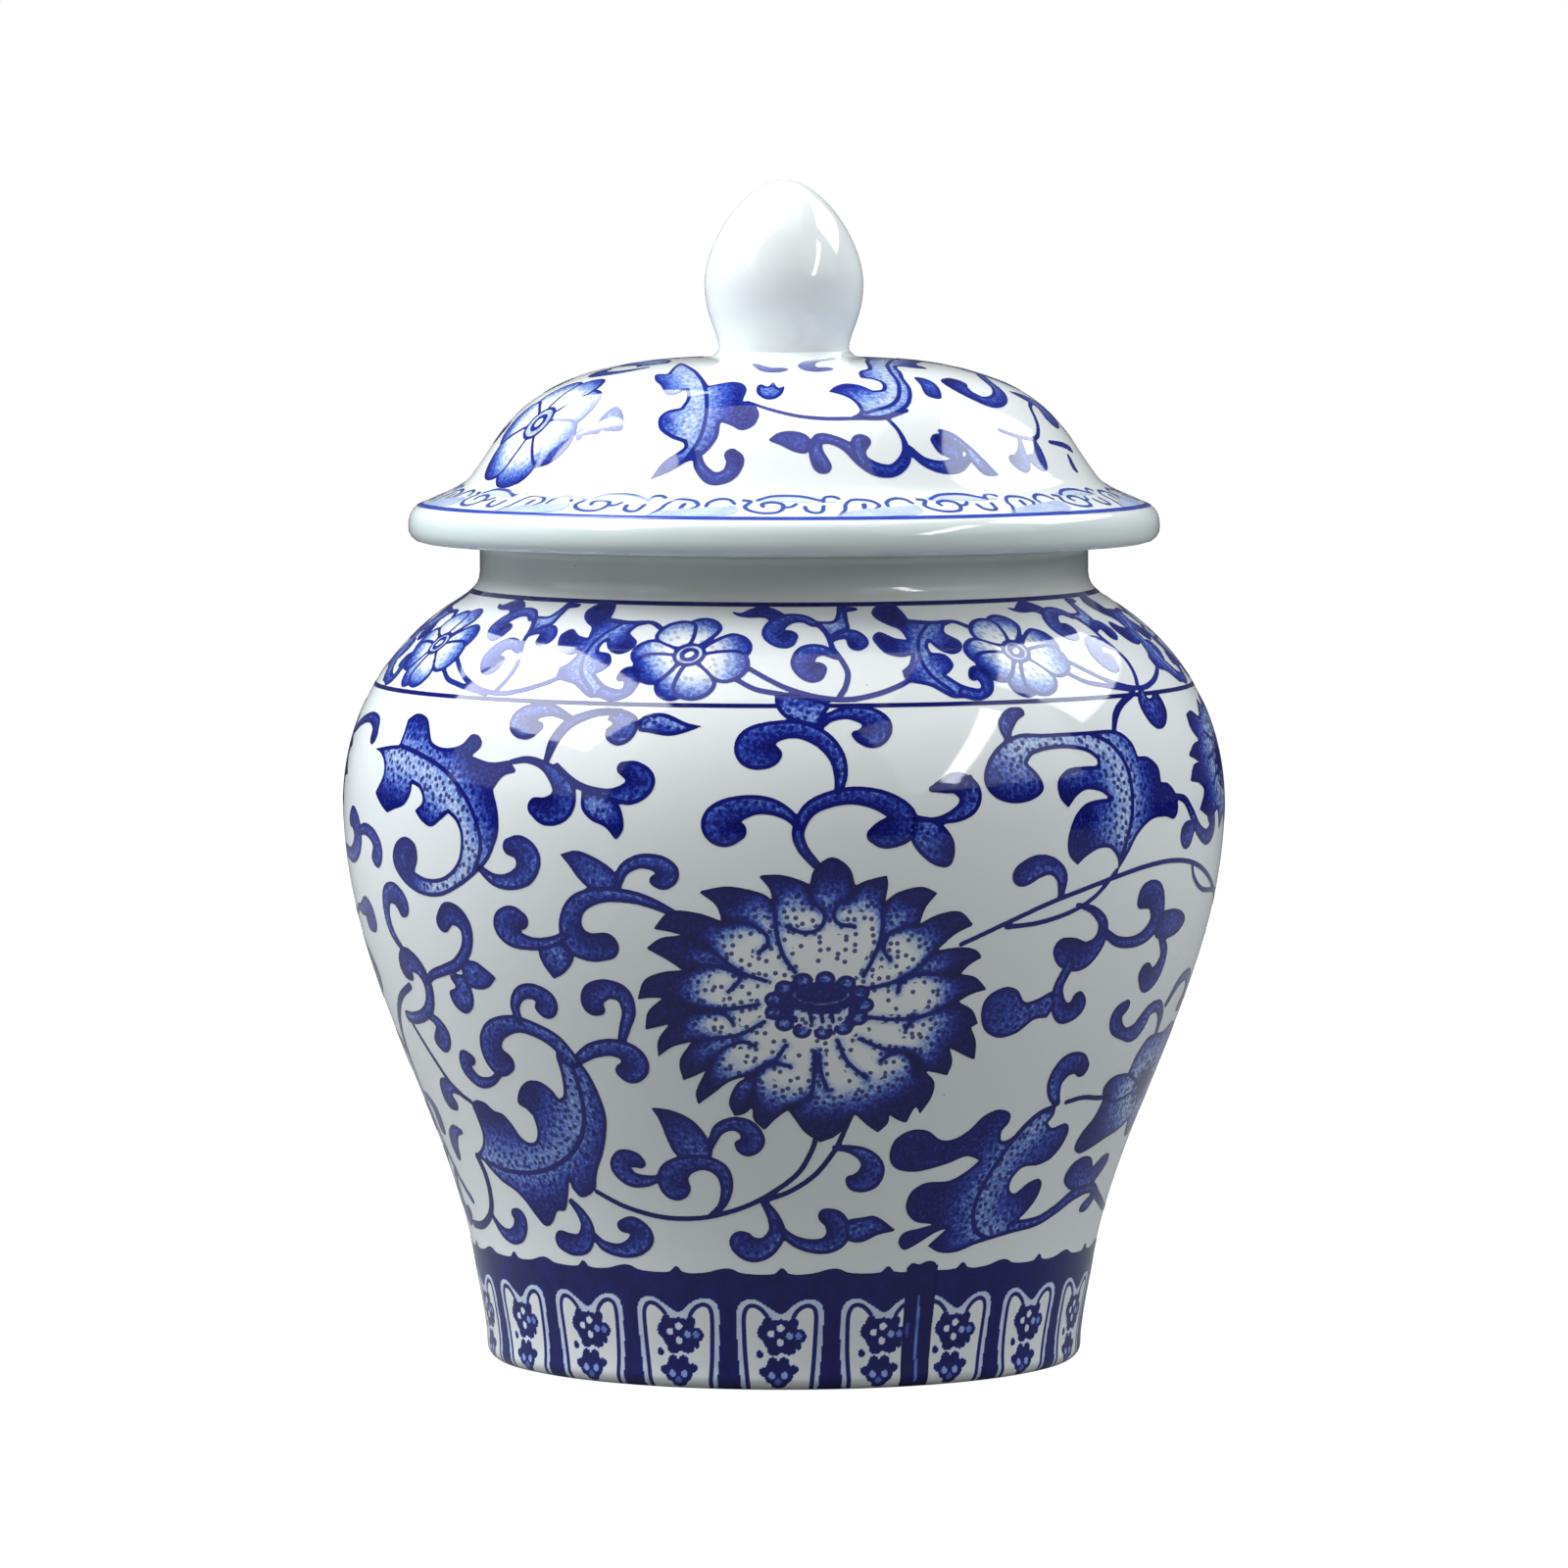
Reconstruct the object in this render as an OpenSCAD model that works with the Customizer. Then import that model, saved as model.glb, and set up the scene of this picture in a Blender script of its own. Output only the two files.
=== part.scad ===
// Lidded ginger jar in porcelain: a round-shouldered vessel on a foot ring, a lid whose
// collar drops into the mouth, and an egg-shaped knob luted to the lid's crown.
// Millimetres, +Z up, origin at the middle of the face the foot stands on.

/* [Jar body] */
// Height of the body from the table to the rim the lid sits on
body_h = 111; // [100:1:130]
// Diameter of the belly at its widest
belly_d = 120; // [112:1:130]
// Height of the widest part of the belly
belly_z = 75; // [70:1:78]
// Height of the line where the shoulder turns up into the neck
shoulder_z = 103; // [101:0.5:105]
// Thickness of the porcelain wall
wall = 3.5; // [2.8:0.1:4.2]

/* [Neck] */
// Outer diameter of the neck
neck_d = 82.8; // [78:0.2:88]
// Width of the flat ground land on top of the rim
rim_land = 1.9; // [1.2:0.1:2.2]

/* [Foot] */
// Outer diameter where the foot meets the table, before its edge is rounded
foot_d = 81; // [76:0.5:86]
// Outer diameter at the top of the foot band
ankle_d = 84.4; // [82:0.2:88]
// Height of the foot band
foot_h = 13; // [10:0.5:16]
// Radius of the rounded bottom edge
foot_edge = 1.8; // [1:0.1:2.5]
// Width of the bare ring that touches the table
ring_w = 3.6; // [2.5:0.1:5]
// Depth of the recess inside the foot ring
recess = 3; // [2:0.1:4]
// Thickness of the jar's floor
floor_t = 4; // [3:0.1:5]

/* [Lid] */
// Diameter of the lid's flange
flange_d = 102.2; // [98:0.2:108]
// Thickness of the flange's rounded edge
flange_edge = 3.8; // [3:0.1:4.2]
// Height of the lid's crown above the rim
crown_h = 25.8; // [23:0.2:28]
// Height of the pad of slip on the crown that holds the knob
pad_h = 0.8; // [0.4:0.1:1.5]
// Diameter at the foot of the dome, where it rises from the flange
dome_d = 85.6; // [84:0.2:88]
// How far the collar drops below the rim
collar_drop = 7; // [4:0.5:9]
// Gap all round between the collar and the neck
collar_gap = 1; // [0.6:0.1:1.4]
// Thickness of the collar
collar_wall = 3; // [2.4:0.1:3.5]

/* [Knob] */
// Diameter of the knob at its widest
knob_d = 21.8; // [18:0.1:24]
// Height of the knob above the crown
knob_h = 23.2; // [20:0.2:26]
// Diameter of the knob where it is luted to the crown
knob_seat_d = 17.6; // [15:0.1:19]

/* [Hidden] */
$fn = 96;

neck_r = neck_d / 2;
belly_r = belly_d / 2;
mouth_r = neck_r - wall;
flange_r = flange_d / 2;
dome_r = dome_d / 2;
floor_z = recess + floor_t;
crown_z = body_h + crown_h;
curve_steps = 12; // points along each long curve
edge_steps = 5;   // points along each rounded edge

// Point t of the way, 0 to 1, along the cubic from a to d with handles b and c
function cubic(a, b, c, d, t) =
    a * pow(1 - t, 3) + b * 3 * t * pow(1 - t, 2) + c * 3 * t * t * (1 - t) + d * pow(t, 3);
// Points along that cubic, leaving out the first so that runs join without a repeat
function run(a, b, c, d, steps = curve_steps) =
    [for (i = [1:steps]) cubic(a, b, c, d, i / steps)];
// Points round an arc about a centre, from one angle to another
function arc(centre, r, from, to, steps = edge_steps) =
    [for (i = [0:steps]) centre + r * [cos(from + (to - from) * i / steps),
                                       sin(from + (to - from) * i / steps)]];
// The path moved sideways by t, towards the axis on a path that climbs
function inset(path, t) =
    [for (i = [0:len(path) - 1])
        let (ahead = path[min(i + 1, len(path) - 1)] - path[max(i - 1, 0)])
        path[i] + t * [-ahead[1], ahead[0]] / norm(ahead)];
function reversed(path) = [for (i = [len(path) - 1:-1:0]) path[i]];

// ---- jar body ----
ankle = [ankle_d / 2, foot_h];
belly = [belly_r, belly_z];
shoulder = [neck_r + 3.6, shoulder_z - 0.2];
neck_root = [neck_r, shoulder_z + 4];
// The foot swells out into the belly, then the shoulder rolls over and turns up the neck
swell = run(ankle, ankle + [2.9, 19.3], belly - [0.4, 23.2], belly);
roll = run(belly, belly + [0, 13.2], shoulder + [8.6, -5.6], shoulder);
turn = run(shoulder, shoulder + [-1.9, 1.3], neck_root - [0, 2.2], neck_root, edge_steps);

function foot_outline() =
    arc([foot_d / 2 - foot_edge, foot_edge], foot_edge, -90, 0);
function rim_outline() =
    let (middle = (neck_r + mouth_r) / 2,
         ease = (wall - rim_land) / 2)
    concat(arc([middle + rim_land / 2, body_h - ease], ease, 0, 90),
           arc([middle - rim_land / 2, body_h - ease], ease, 90, 180));
function inside_outline() =
    let (side = inset(concat([ankle], swell, roll, turn), wall),
         heel = side[0])
    concat([[mouth_r, neck_root[1]]],
           reversed([for (p = side) if (p[1] < neck_root[1] - 0.5) p]),
           run(heel, heel - [1.2, 4], [heel[0] - 3, floor_z], [heel[0] - 9, floor_z], edge_steps));
function recess_outline() =
    let (ring_r = foot_d / 2 - foot_edge - ring_w)
    [[0, floor_z], [0, recess], [ring_r - recess / 2, recess], [ring_r, 0]];

module jar_body() {
    color([0.86, 0.89, 0.93])
    rotate_extrude()
    polygon(concat(foot_outline(), [ankle], swell, roll, turn, rim_outline(),
                   inside_outline(), recess_outline()));
}

// ---- lid ----
collar_r = mouth_r - collar_gap;
edge_r = flange_edge / 2;
flange_top = [flange_r - 1.3, body_h + flange_edge + 1.2];
dome_foot = [dome_r, body_h + 8.6];
pad_edge = [knob_seat_d / 2 + 0.3, crown_z];
crown_edge = pad_edge + [1.8, -pad_h];
// The flange slopes up to the dome, which rises steeply and rounds over to the crown
slope = run([flange_r, body_h + edge_r], [flange_r, body_h + flange_edge - 0.3],
            flange_top + [0.9, -0.5], flange_top, edge_steps);
sweep = run(flange_top, flange_top - [3.6, -1.7], dome_foot + [1.4, -1.4], dome_foot, edge_steps);
rise = run(dome_foot, dome_foot + [-5.2, 6.6], crown_edge + [25, -0.6], crown_edge);
pad = run(crown_edge, crown_edge - [1.2, -0.1], pad_edge + [0.2, -0.5], pad_edge, edge_steps);

function collar_outline() =
    [[collar_r - collar_wall, body_h - collar_drop + 1],
     [collar_r - collar_wall + 1, body_h - collar_drop],
     [collar_r - 1, body_h - collar_drop],
     [collar_r, body_h - collar_drop + 1],
     [collar_r, body_h]];
function hollow_outline() =
    let (over = inset(concat([dome_foot], rise), wall))
    concat([[0, crown_z - pad_h - wall]],
           reversed([for (p = over) if (p[0] < collar_r - 0.5) p]),
           [[collar_r - collar_wall, body_h + 2.5]]);

module lid_shell() {
    color([0.84, 0.88, 0.95])
    rotate_extrude()
    polygon(concat(collar_outline(),
                   arc([flange_r - edge_r, body_h + edge_r], edge_r, -90, 0),
                   slope, sweep, rise, pad, [[0, crown_z]], hollow_outline()));
}

// ---- knob ----
module lid_knob() {
    seat = [knob_seat_d / 2, crown_z];
    wide = [knob_d / 2, crown_z + knob_h * 0.39];
    tip = [0, crown_z + knob_h];
    color([0.93, 0.94, 0.96])
    rotate_extrude()
    polygon(concat([[0, crown_z], seat],
                   run(seat, seat + [0.2, 2.4], wide - [0, 4.4], wide),
                   run(wide, wide + [0, 5.8], tip + [5.3, 0], tip)));
}

jar_body();
lid_shell();
lid_knob();
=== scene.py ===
import bmesh
import bpy
import numpy as np
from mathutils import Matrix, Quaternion, Vector


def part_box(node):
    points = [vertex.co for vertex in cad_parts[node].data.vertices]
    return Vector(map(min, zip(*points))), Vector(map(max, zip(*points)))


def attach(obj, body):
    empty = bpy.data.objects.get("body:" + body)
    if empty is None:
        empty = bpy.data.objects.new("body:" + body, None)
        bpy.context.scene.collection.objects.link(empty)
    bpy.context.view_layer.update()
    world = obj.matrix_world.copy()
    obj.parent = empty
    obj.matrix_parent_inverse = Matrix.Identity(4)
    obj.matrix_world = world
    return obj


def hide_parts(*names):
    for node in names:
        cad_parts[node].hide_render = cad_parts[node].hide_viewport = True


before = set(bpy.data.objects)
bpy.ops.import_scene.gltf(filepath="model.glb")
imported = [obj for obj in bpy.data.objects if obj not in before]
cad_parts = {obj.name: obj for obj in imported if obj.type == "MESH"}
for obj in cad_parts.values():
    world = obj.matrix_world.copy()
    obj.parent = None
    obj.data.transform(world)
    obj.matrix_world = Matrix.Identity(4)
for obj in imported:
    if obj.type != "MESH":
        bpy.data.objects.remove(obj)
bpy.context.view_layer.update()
scene = bpy.context.scene
mm = 0.001

# The turned surfaces, in millimetres. A side is a line of radius and height, and "along" is
# the distance up it from its start.
jarShape = {
    "height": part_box("jar_body")[1].z / mm,
    "bellyRadius": 60, "bellyZ": 75,
    "neckRadius": 41.4, "shoulderZ": 103,
    "footRadius": 40.5, "footEdge": 1.8, "ankleRadius": 42.2, "ankleZ": 13,
    "wall": 3.5, "rimLand": 1.9, "recess": 3, "floor": 4, "ringWidth": 3.6,
}
lidShape = {
    "flangeRadius": 51.1, "flangeEdge": 3.8, "domeRadius": 42.8,
    "crown": 25.8, "pad": 0.8, "collarDrop": 7, "collarGap": 1, "collarWall": 3,
}
knobShape = {"radius": 10.9, "seatRadius": 8.8, "height": 23.2, "sunk": 0.3}
glazeShape = {
    "inset": 0.12,      # how far the glaze lies inside the nominal size
    "printLift": 0.04,  # how far the printed pattern lies over the glaze
    "layer": 0.006,     # how far one print lies over the one below it
    "wobble": 0.02,     # unevenness of the cast wall
}


def cubic(a, b, c, d, steps):
    a, b, c, d = (np.array(p, float) for p in (a, b, c, d))
    t = np.linspace(0, 1, steps + 1)[1:, None]
    return a * (1 - t) ** 3 + 3 * b * t * (1 - t) ** 2 + 3 * c * t * t * (1 - t) + d * t ** 3


def arc(centre, radius, start, end, steps):
    t = np.radians(np.linspace(start, end, steps + 1))
    return np.array(centre) + radius * np.stack([np.cos(t), np.sin(t)], 1)


def offset(path, distance):
    # moves a path sideways, to its left
    ahead = np.gradient(path, axis=0)
    side = np.stack([-ahead[:, 1], ahead[:, 0]], 1)
    return path + distance * side / np.linalg.norm(ahead, axis=1)[:, None]


def jarSide():
    s = jarShape
    edge = s["footEdge"]
    ankle = np.array([s["ankleRadius"], s["ankleZ"]])
    belly = np.array([s["bellyRadius"], s["bellyZ"]])
    shoulder = np.array([s["neckRadius"] + 3.6, s["shoulderZ"] - 0.2])
    root = np.array([s["neckRadius"], s["shoulderZ"] + 4])
    return np.vstack([
        arc((s["footRadius"] - edge, edge), edge, -90, 0, 8),
        cubic((s["footRadius"], edge), (s["footRadius"], 5), ankle - (0.5, 3), ankle, 8),
        cubic(ankle, ankle + (2.9, 19.3), belly - (0.4, 23.2), belly, 60),
        cubic(belly, belly + (0, 13.2), shoulder + (8.6, -5.6), shoulder, 44),
        cubic(shoulder, shoulder + (-1.9, 1.3), root - (0, 2.2), root, 14),
        [[s["neckRadius"], s["height"] - (s["wall"] - s["rimLand"]) / 2]],
    ])


def lidSide():
    s = lidShape
    rim, edge = jarShape["height"], s["flangeEdge"] / 2
    flange = s["flangeRadius"]
    top = np.array([flange - 1.3, rim + 2 * edge + 1.2])
    foot = np.array([s["domeRadius"], rim + 8.6])
    pad = np.array([knobShape["seatRadius"] + 0.3, rim + s["crown"]])
    crown = pad + (1.8, -s["pad"])
    return np.vstack([
        arc((flange - edge, rim + edge), edge, -90, 0, 12),
        cubic((flange, rim + edge), (flange, rim + 2 * edge - 0.3), top + (0.9, -0.5), top, 8),
        cubic(top, top - (3.6, -1.7), foot + (1.4, -1.4), foot, 24),
        cubic(foot, foot + (-5.2, 6.6), crown + (25, -0.6), crown, 60),
        cubic(crown, crown - (1.2, -0.1), pad + (0.2, -0.5), pad, 8),
    ])


class Turned:
    # a turned surface: finds points and radii on it from an angle and a distance along its side
    def __init__(self, side):
        self.side = side
        self.reach = np.concatenate([[0], np.cumsum(np.linalg.norm(np.diff(side, axis=0), axis=1))])
        ahead = np.gradient(side, self.reach, axis=0)
        self.ahead = ahead / np.linalg.norm(ahead, axis=1)[:, None]

    def look(self, values, along):
        return np.interp(along, self.reach, values)

    def radius(self, along):
        return self.look(self.side[:, 0], along)

    def points(self, angle, along, lift):
        # angle 0 is the front and grows to the right; lift is measured off the nominal surface
        angle, along = np.broadcast_arrays(np.asarray(angle, float), np.asarray(along, float))
        turn = np.radians(angle)
        drop = glazeShape["wobble"] * (
            np.sin(3 * turn + 0.7 + along * 0.11) + np.sin(5 * turn - along * 0.17 + 2.1)
            + np.sin(2 * turn + along * 0.31)) / 3
        fade = np.clip(along / 2, 0, 1)  # the foot ring keeps its true size
        out = (lift - drop) * fade
        r = self.radius(along) + self.look(self.ahead[:, 1], along) * out
        z = self.look(self.side[:, 1], along) - self.look(self.ahead[:, 0], along) * out
        return np.stack([r * np.sin(turn), -r * np.cos(turn), z], -1)

    def normals(self, angle, along):
        step = 0.15
        lift = -glazeShape["inset"]
        turn = step / self.radius(along) * 60
        across = self.points(angle + turn, along, lift) - self.points(angle - turn, along, lift)
        low, high = np.clip(along - step, 0, None), np.clip(along + step, None, self.reach[-1])
        up = self.points(angle, high, lift) - self.points(angle, low, lift)
        n = np.cross(across, up)
        return n / np.maximum(np.linalg.norm(n, axis=-1, keepdims=True), 1e-9)


jarSurface = Turned(jarSide())
lidSurface = Turned(lidSide())

# The printed pattern is drawn as marks, put down on a fine grid in the order they are listed.
# A point is (degrees from the front, millimetres along the side). A third number on a leaf's
# point makes it a sharp corner, and on a hook's point it is half the hook's width there.
# Tone runs from 0, pale wash, to 1, solid cobalt, and a little past both.
inkShape = {
    "grid": 0.3,            # spacing of the printed mesh
    "outline": 0.28,        # half the width of an outline
    "spread": 1.3,          # how much wider a stem or vein prints than it was drawn
    "tones": (-0.6, 1.15),  # bare glaze and navy
    "away": 9.0,            # stands for a spot that no mark is near
}


def runThrough(points, steps=5, closed=False):
    # a smooth curve through the points
    p = np.array(points, float)
    ends = (p[-1:], p[:2]) if closed else (2 * p[:1] - p[1:2], 2 * p[-1:] - p[-2:-1])
    q = np.vstack([ends[0], p, ends[1]])
    t = (np.arange(steps) / steps)[:, None]
    bits = [0.5 * (2 * b + (c - a) * t + (2 * a - 5 * b + 4 * c - d) * t ** 2
                   + (3 * b - a - 3 * c + d) * t ** 3)
            for a, b, c, d in zip(q, q[1:], q[2:], q[3:])]
    return np.vstack(bits if closed else bits + [p[-1:]])


def outlineThrough(points):
    # a closed outline that is smooth except at its corners
    corners = [i for i, p in enumerate(points) if len(p) > 2]
    p = [q[:2] for q in points]
    if not corners:
        return runThrough(p, closed=True)
    p, corners = p[corners[0]:] + p[:corners[0] + 1], [c - corners[0] for c in corners]
    spans = zip(corners, corners[1:] + [len(p) - 1])
    return np.vstack([runThrough(p[a:b + 1])[:-1] for a, b in spans])


def nearest(spots, path, closed=False):
    # distance from each spot to a path, half its width there, the part of the way along, and the side
    a, b = (path, np.roll(path, -1, 0)) if closed else (path[:-1], path[1:])
    step = (b - a)[:, :2]
    size = np.maximum((step ** 2).sum(1), 1e-12)
    gap = spots[:, None] - a[None, :, :2]
    t = np.clip((gap * step).sum(2) / size, 0, 1)
    miss = gap - t[..., None] * step
    far = np.sqrt((miss ** 2).sum(2))
    width = a[:, 2] + t * (b[:, 2] - a[:, 2]) if path.shape[1] > 2 else np.zeros(t.shape)
    best = (far - width).argmin(1)
    row = np.arange(len(spots))
    side = step[best, 0] * gap[row, best, 1] - step[best, 1] * gap[row, best, 0]
    part = (best + t[row, best]) / len(a)
    return far[row, best], width[row, best], part, np.sign(side)


def within(spots, outline):
    a, b = outline, np.roll(outline, -1, 0)
    x, y = spots[:, :1], spots[:, 1:]
    rise = np.where(b[:, 1] == a[:, 1], 1e-9, b[:, 1] - a[:, 1])
    crossing = a[:, 0] + (y - a[:, 1]) * (b[:, 0] - a[:, 0]) / rise
    return (((a[:, 1] > y) != (b[:, 1] > y)) & (x < crossing)).sum(1) % 2 == 1


def hook(points, tone=(0.5, 0.95), light=1):
    # a scroll with a bulb at its end; light is the side, left or right, that stays paler
    return {"kind": "hook", "points": points, "tone": tone, "light": light}


def leaf(points, rib=None, reach=5, tone=(0.1, 0.95), line=inkShape["outline"]):
    # an outlined shape, palest along its rib and darkest at the given reach from it
    return {"kind": "leaf", "points": points, "rib": rib, "reach": reach, "tone": tone, "line": line}


def patch(points, tone):
    # a shape with no outline
    return leaf(points, tone=(tone, tone), line=-0.1)


def stem(points, width=0.3):
    return {"kind": "stem", "points": points, "width": width * inkShape["spread"]}


def vein(points, width=0.22, shade=0):
    # an inner line, drawn only over what is already there, with a darker wash beside it
    return {"kind": "vein", "points": points, "width": width * inkShape["spread"], "shade": shade}


def between(ends, share):
    return ends[0] + (ends[1] - ends[0]) * share


class Sheet:
    # one printed motif, flattened about the middle angle that it is drawn round
    def __init__(self, surface, middle, marks, step=inkShape["grid"], lowest=0.05):
        self.surface, self.middle = surface, middle
        flat = [self.flatten(m) for m in marks]
        every = np.vstack([f[:, :2] for f in flat])
        spread = 3 * step + max(f[:, 2].max() if f.shape[1] > 2 else 0.5 for f in flat)
        low, high = every.min(0) - spread, every.max(0) + spread
        low[1] = max(low[1], lowest)
        self.across = np.arange(low[0], high[0] + step, step)
        self.up = np.arange(low[1], high[1] + step, step)
        u, v = np.meshgrid(self.across, self.up)
        self.spots = np.stack([u.ravel(), v.ravel()], 1)
        self.edge = np.full(len(self.spots), inkShape["away"])
        self.ink = self.edge.copy()
        self.tone = np.full(len(self.spots), 1.0 * marks[0].get("tone", (0.5, 0.5))[1])
        for mark, path in zip(marks, flat):
            self.put(mark, path)

    def flat(self, points):
        p = np.array([q[:2] for q in points], float)
        p[:, 0] = np.radians(p[:, 0] - self.middle) * self.surface.radius(p[:, 1])
        return p

    def flatten(self, mark):
        p = self.flat(mark["points"])
        if mark["kind"] == "leaf":
            sharp = [(*a, 1) if len(b) > 2 else tuple(a) for a, b in zip(p, mark["points"])]
            return outlineThrough(sharp)
        if mark["kind"] == "hook":
            return runThrough(np.column_stack([p, [q[2] for q in mark["points"]]]))
        return runThrough(p)

    def put(self, mark, path):
        # adds one mark's outline, ink lines and tone to the spots near it
        reach = 1.2 + (path[:, 2].max() if path.shape[1] > 2 else 0)
        low, high = path[:, :2].min(0) - reach, path[:, :2].max(0) + reach
        near = np.where(((self.spots > low) & (self.spots < high)).all(1))[0]
        spots = self.spots[near]
        half = mark.get("line", inkShape["outline"])
        if mark["kind"] in ("stem", "vein"):
            line = nearest(spots, path)[0] - mark["width"]
            self.ink[near] = np.minimum(self.ink[near], line)
            if mark["kind"] == "stem":
                self.edge[near] = np.minimum(self.edge[near], line)
            elif mark["shade"]:
                self.tone[near] += mark["shade"] * np.clip(1 - line / 1.2, 0, 1) ** 1.5
            return
        if mark["kind"] == "hook":
            far, width, part, side = nearest(spots, path)
            deep = far - width + half
            tone = between(mark["tone"], part ** 1.5)
            tone -= 0.3 * mark["light"] * side * far / np.maximum(width, 0.3)
        else:
            deep = nearest(spots, path, closed=True)[0]
            deep = np.where(within(spots, path), -deep, deep) + half
            rib = runThrough(self.flat(mark["rib"])) if mark["rib"] else path.mean(0) + [[0, 0], [0, 0.1]]
            fromRib = np.clip(nearest(spots, rib)[0] / mark["reach"], 0, 1)
            tone = between(mark["tone"], fromRib ** 1.3)
        inside = deep < 0
        line = np.abs(deep) - half
        self.ink[near] = np.where(inside, line, np.minimum(self.ink[near], line))
        self.tone[near] = np.where(inside, np.clip(tone, *inkShape["tones"]), self.tone[near])
        self.edge[near] = np.minimum(self.edge[near], deep - half)


def cutGrid(field, columns, rows):
    # the cells of a grid where the field is below zero, cut along its zero line;
    # gives the faces, and each point as a blend of two grid points
    index = np.arange(columns * rows).reshape(rows, columns)
    a, b, c, d = index[:-1, :-1], index[:-1, 1:], index[1:, 1:], index[1:, :-1]
    cells = np.stack([a, b, c, d], -1).reshape(-1, 4)
    inside = field < 0
    count = inside[cells].sum(1)
    quads = cells[count == 4]
    edgeCells = cells[(count > 0) & (count < 4)]
    corners = np.vstack([edgeCells[:, [0, 1, 2]], edgeCells[:, [0, 2, 3]]])
    count = inside[corners].sum(1)
    triangles = [corners[count == 3]]
    pairs = []

    def turned(group, lonely):
        first = (inside[group] == lonely).argmax(1)
        row = np.arange(len(group))
        return [group[row, (first + k) % 3] for k in range(3)]

    total = columns * rows
    p, q, r = turned(corners[count == 1], True)
    pairs += [(p, q), (p, r)]
    s, t, w = turned(corners[count == 2], False)
    pairs += [(s, t), (s, w)]
    starts = np.concatenate([np.minimum(x, y) for x, y in pairs])
    ends = np.concatenate([np.maximum(x, y) for x, y in pairs])
    keys, place = np.unique(starts * total + ends, return_inverse=True)
    place = place.ravel() + total
    cuts = np.split(place, np.cumsum([len(x) for x, y in pairs])[:-1])
    triangles += [np.stack([p, cuts[0], cuts[1]], 1),
                  np.stack([t, w, cuts[3]], 1), np.stack([t, cuts[3], cuts[2]], 1)]
    triangles = np.vstack(triangles)
    first, second = keys // total, keys % total
    share = field[first] / (field[first] - field[second])
    used, renamed = np.unique(np.concatenate([quads.ravel(), triangles.ravel()]), return_inverse=True)
    renamed = renamed.ravel()
    grown = used >= total
    cut = used[grown] - total
    fromPoint, toPoint, blend = used.copy(), used.copy(), np.zeros(len(used))
    fromPoint[grown], toPoint[grown], blend[grown] = first[cut], second[cut], share[cut]
    return (renamed[:quads.size].reshape(-1, 4), renamed[quads.size:].reshape(-1, 3),
            fromPoint, toPoint, blend)


def cutSheet(sheet):
    field = sheet.edge
    field[np.abs(field) < 0.03] = -1e-4
    quads, triangles, a, b, t = cutGrid(field, len(sheet.across), len(sheet.up))
    spots = sheet.spots[a] + (sheet.spots[b] - sheet.spots[a]) * t[:, None]
    return {"spots": spots, "faces": quads.tolist() + triangles.tolist(),
            "ink": sheet.ink[a] + (sheet.ink[b] - sheet.ink[a]) * t,
            "tone": sheet.tone[a] + (sheet.tone[b] - sheet.tone[a]) * t}


def ellipse(middle, size, points=10):
    turns = np.linspace(0, 2 * np.pi, points, endpoint=False)
    return [(middle[0] + size[0] * np.cos(t), middle[1] + size[1] * np.sin(t)) for t in turns]


def beads(middle, size, count, bead, tone):
    # a ring of small outlined beads round a seed pod
    return [leaf(ellipse(spot, bead, 8), reach=1.4, tone=tone) for spot in ellipse(middle, size, count)]


def petal(middle, heading, length, width, stretch, tone):
    # a round-ended petal, sized in millimetres; stretch is how many degrees a millimetre spans
    outline = [(1.5, -0.3), (0.5 * length, -0.85), (0.74 * length, -1), (0.93 * length, -0.62), (length, 0),
               (0.93 * length, 0.62), (0.74 * length, 1), (0.5 * length, 0.85), (1.5, 0.3)]
    c, s = np.cos(np.radians(heading)), np.sin(np.radians(heading))
    points = [(middle[0] + stretch * (c * a - s * b * width), middle[1] + s * a + c * b * width)
              for a, b in outline]
    return leaf(points, rib=[middle, (middle[0], middle[1] + 0.1)], reach=1.05 * length, tone=tone)


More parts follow.
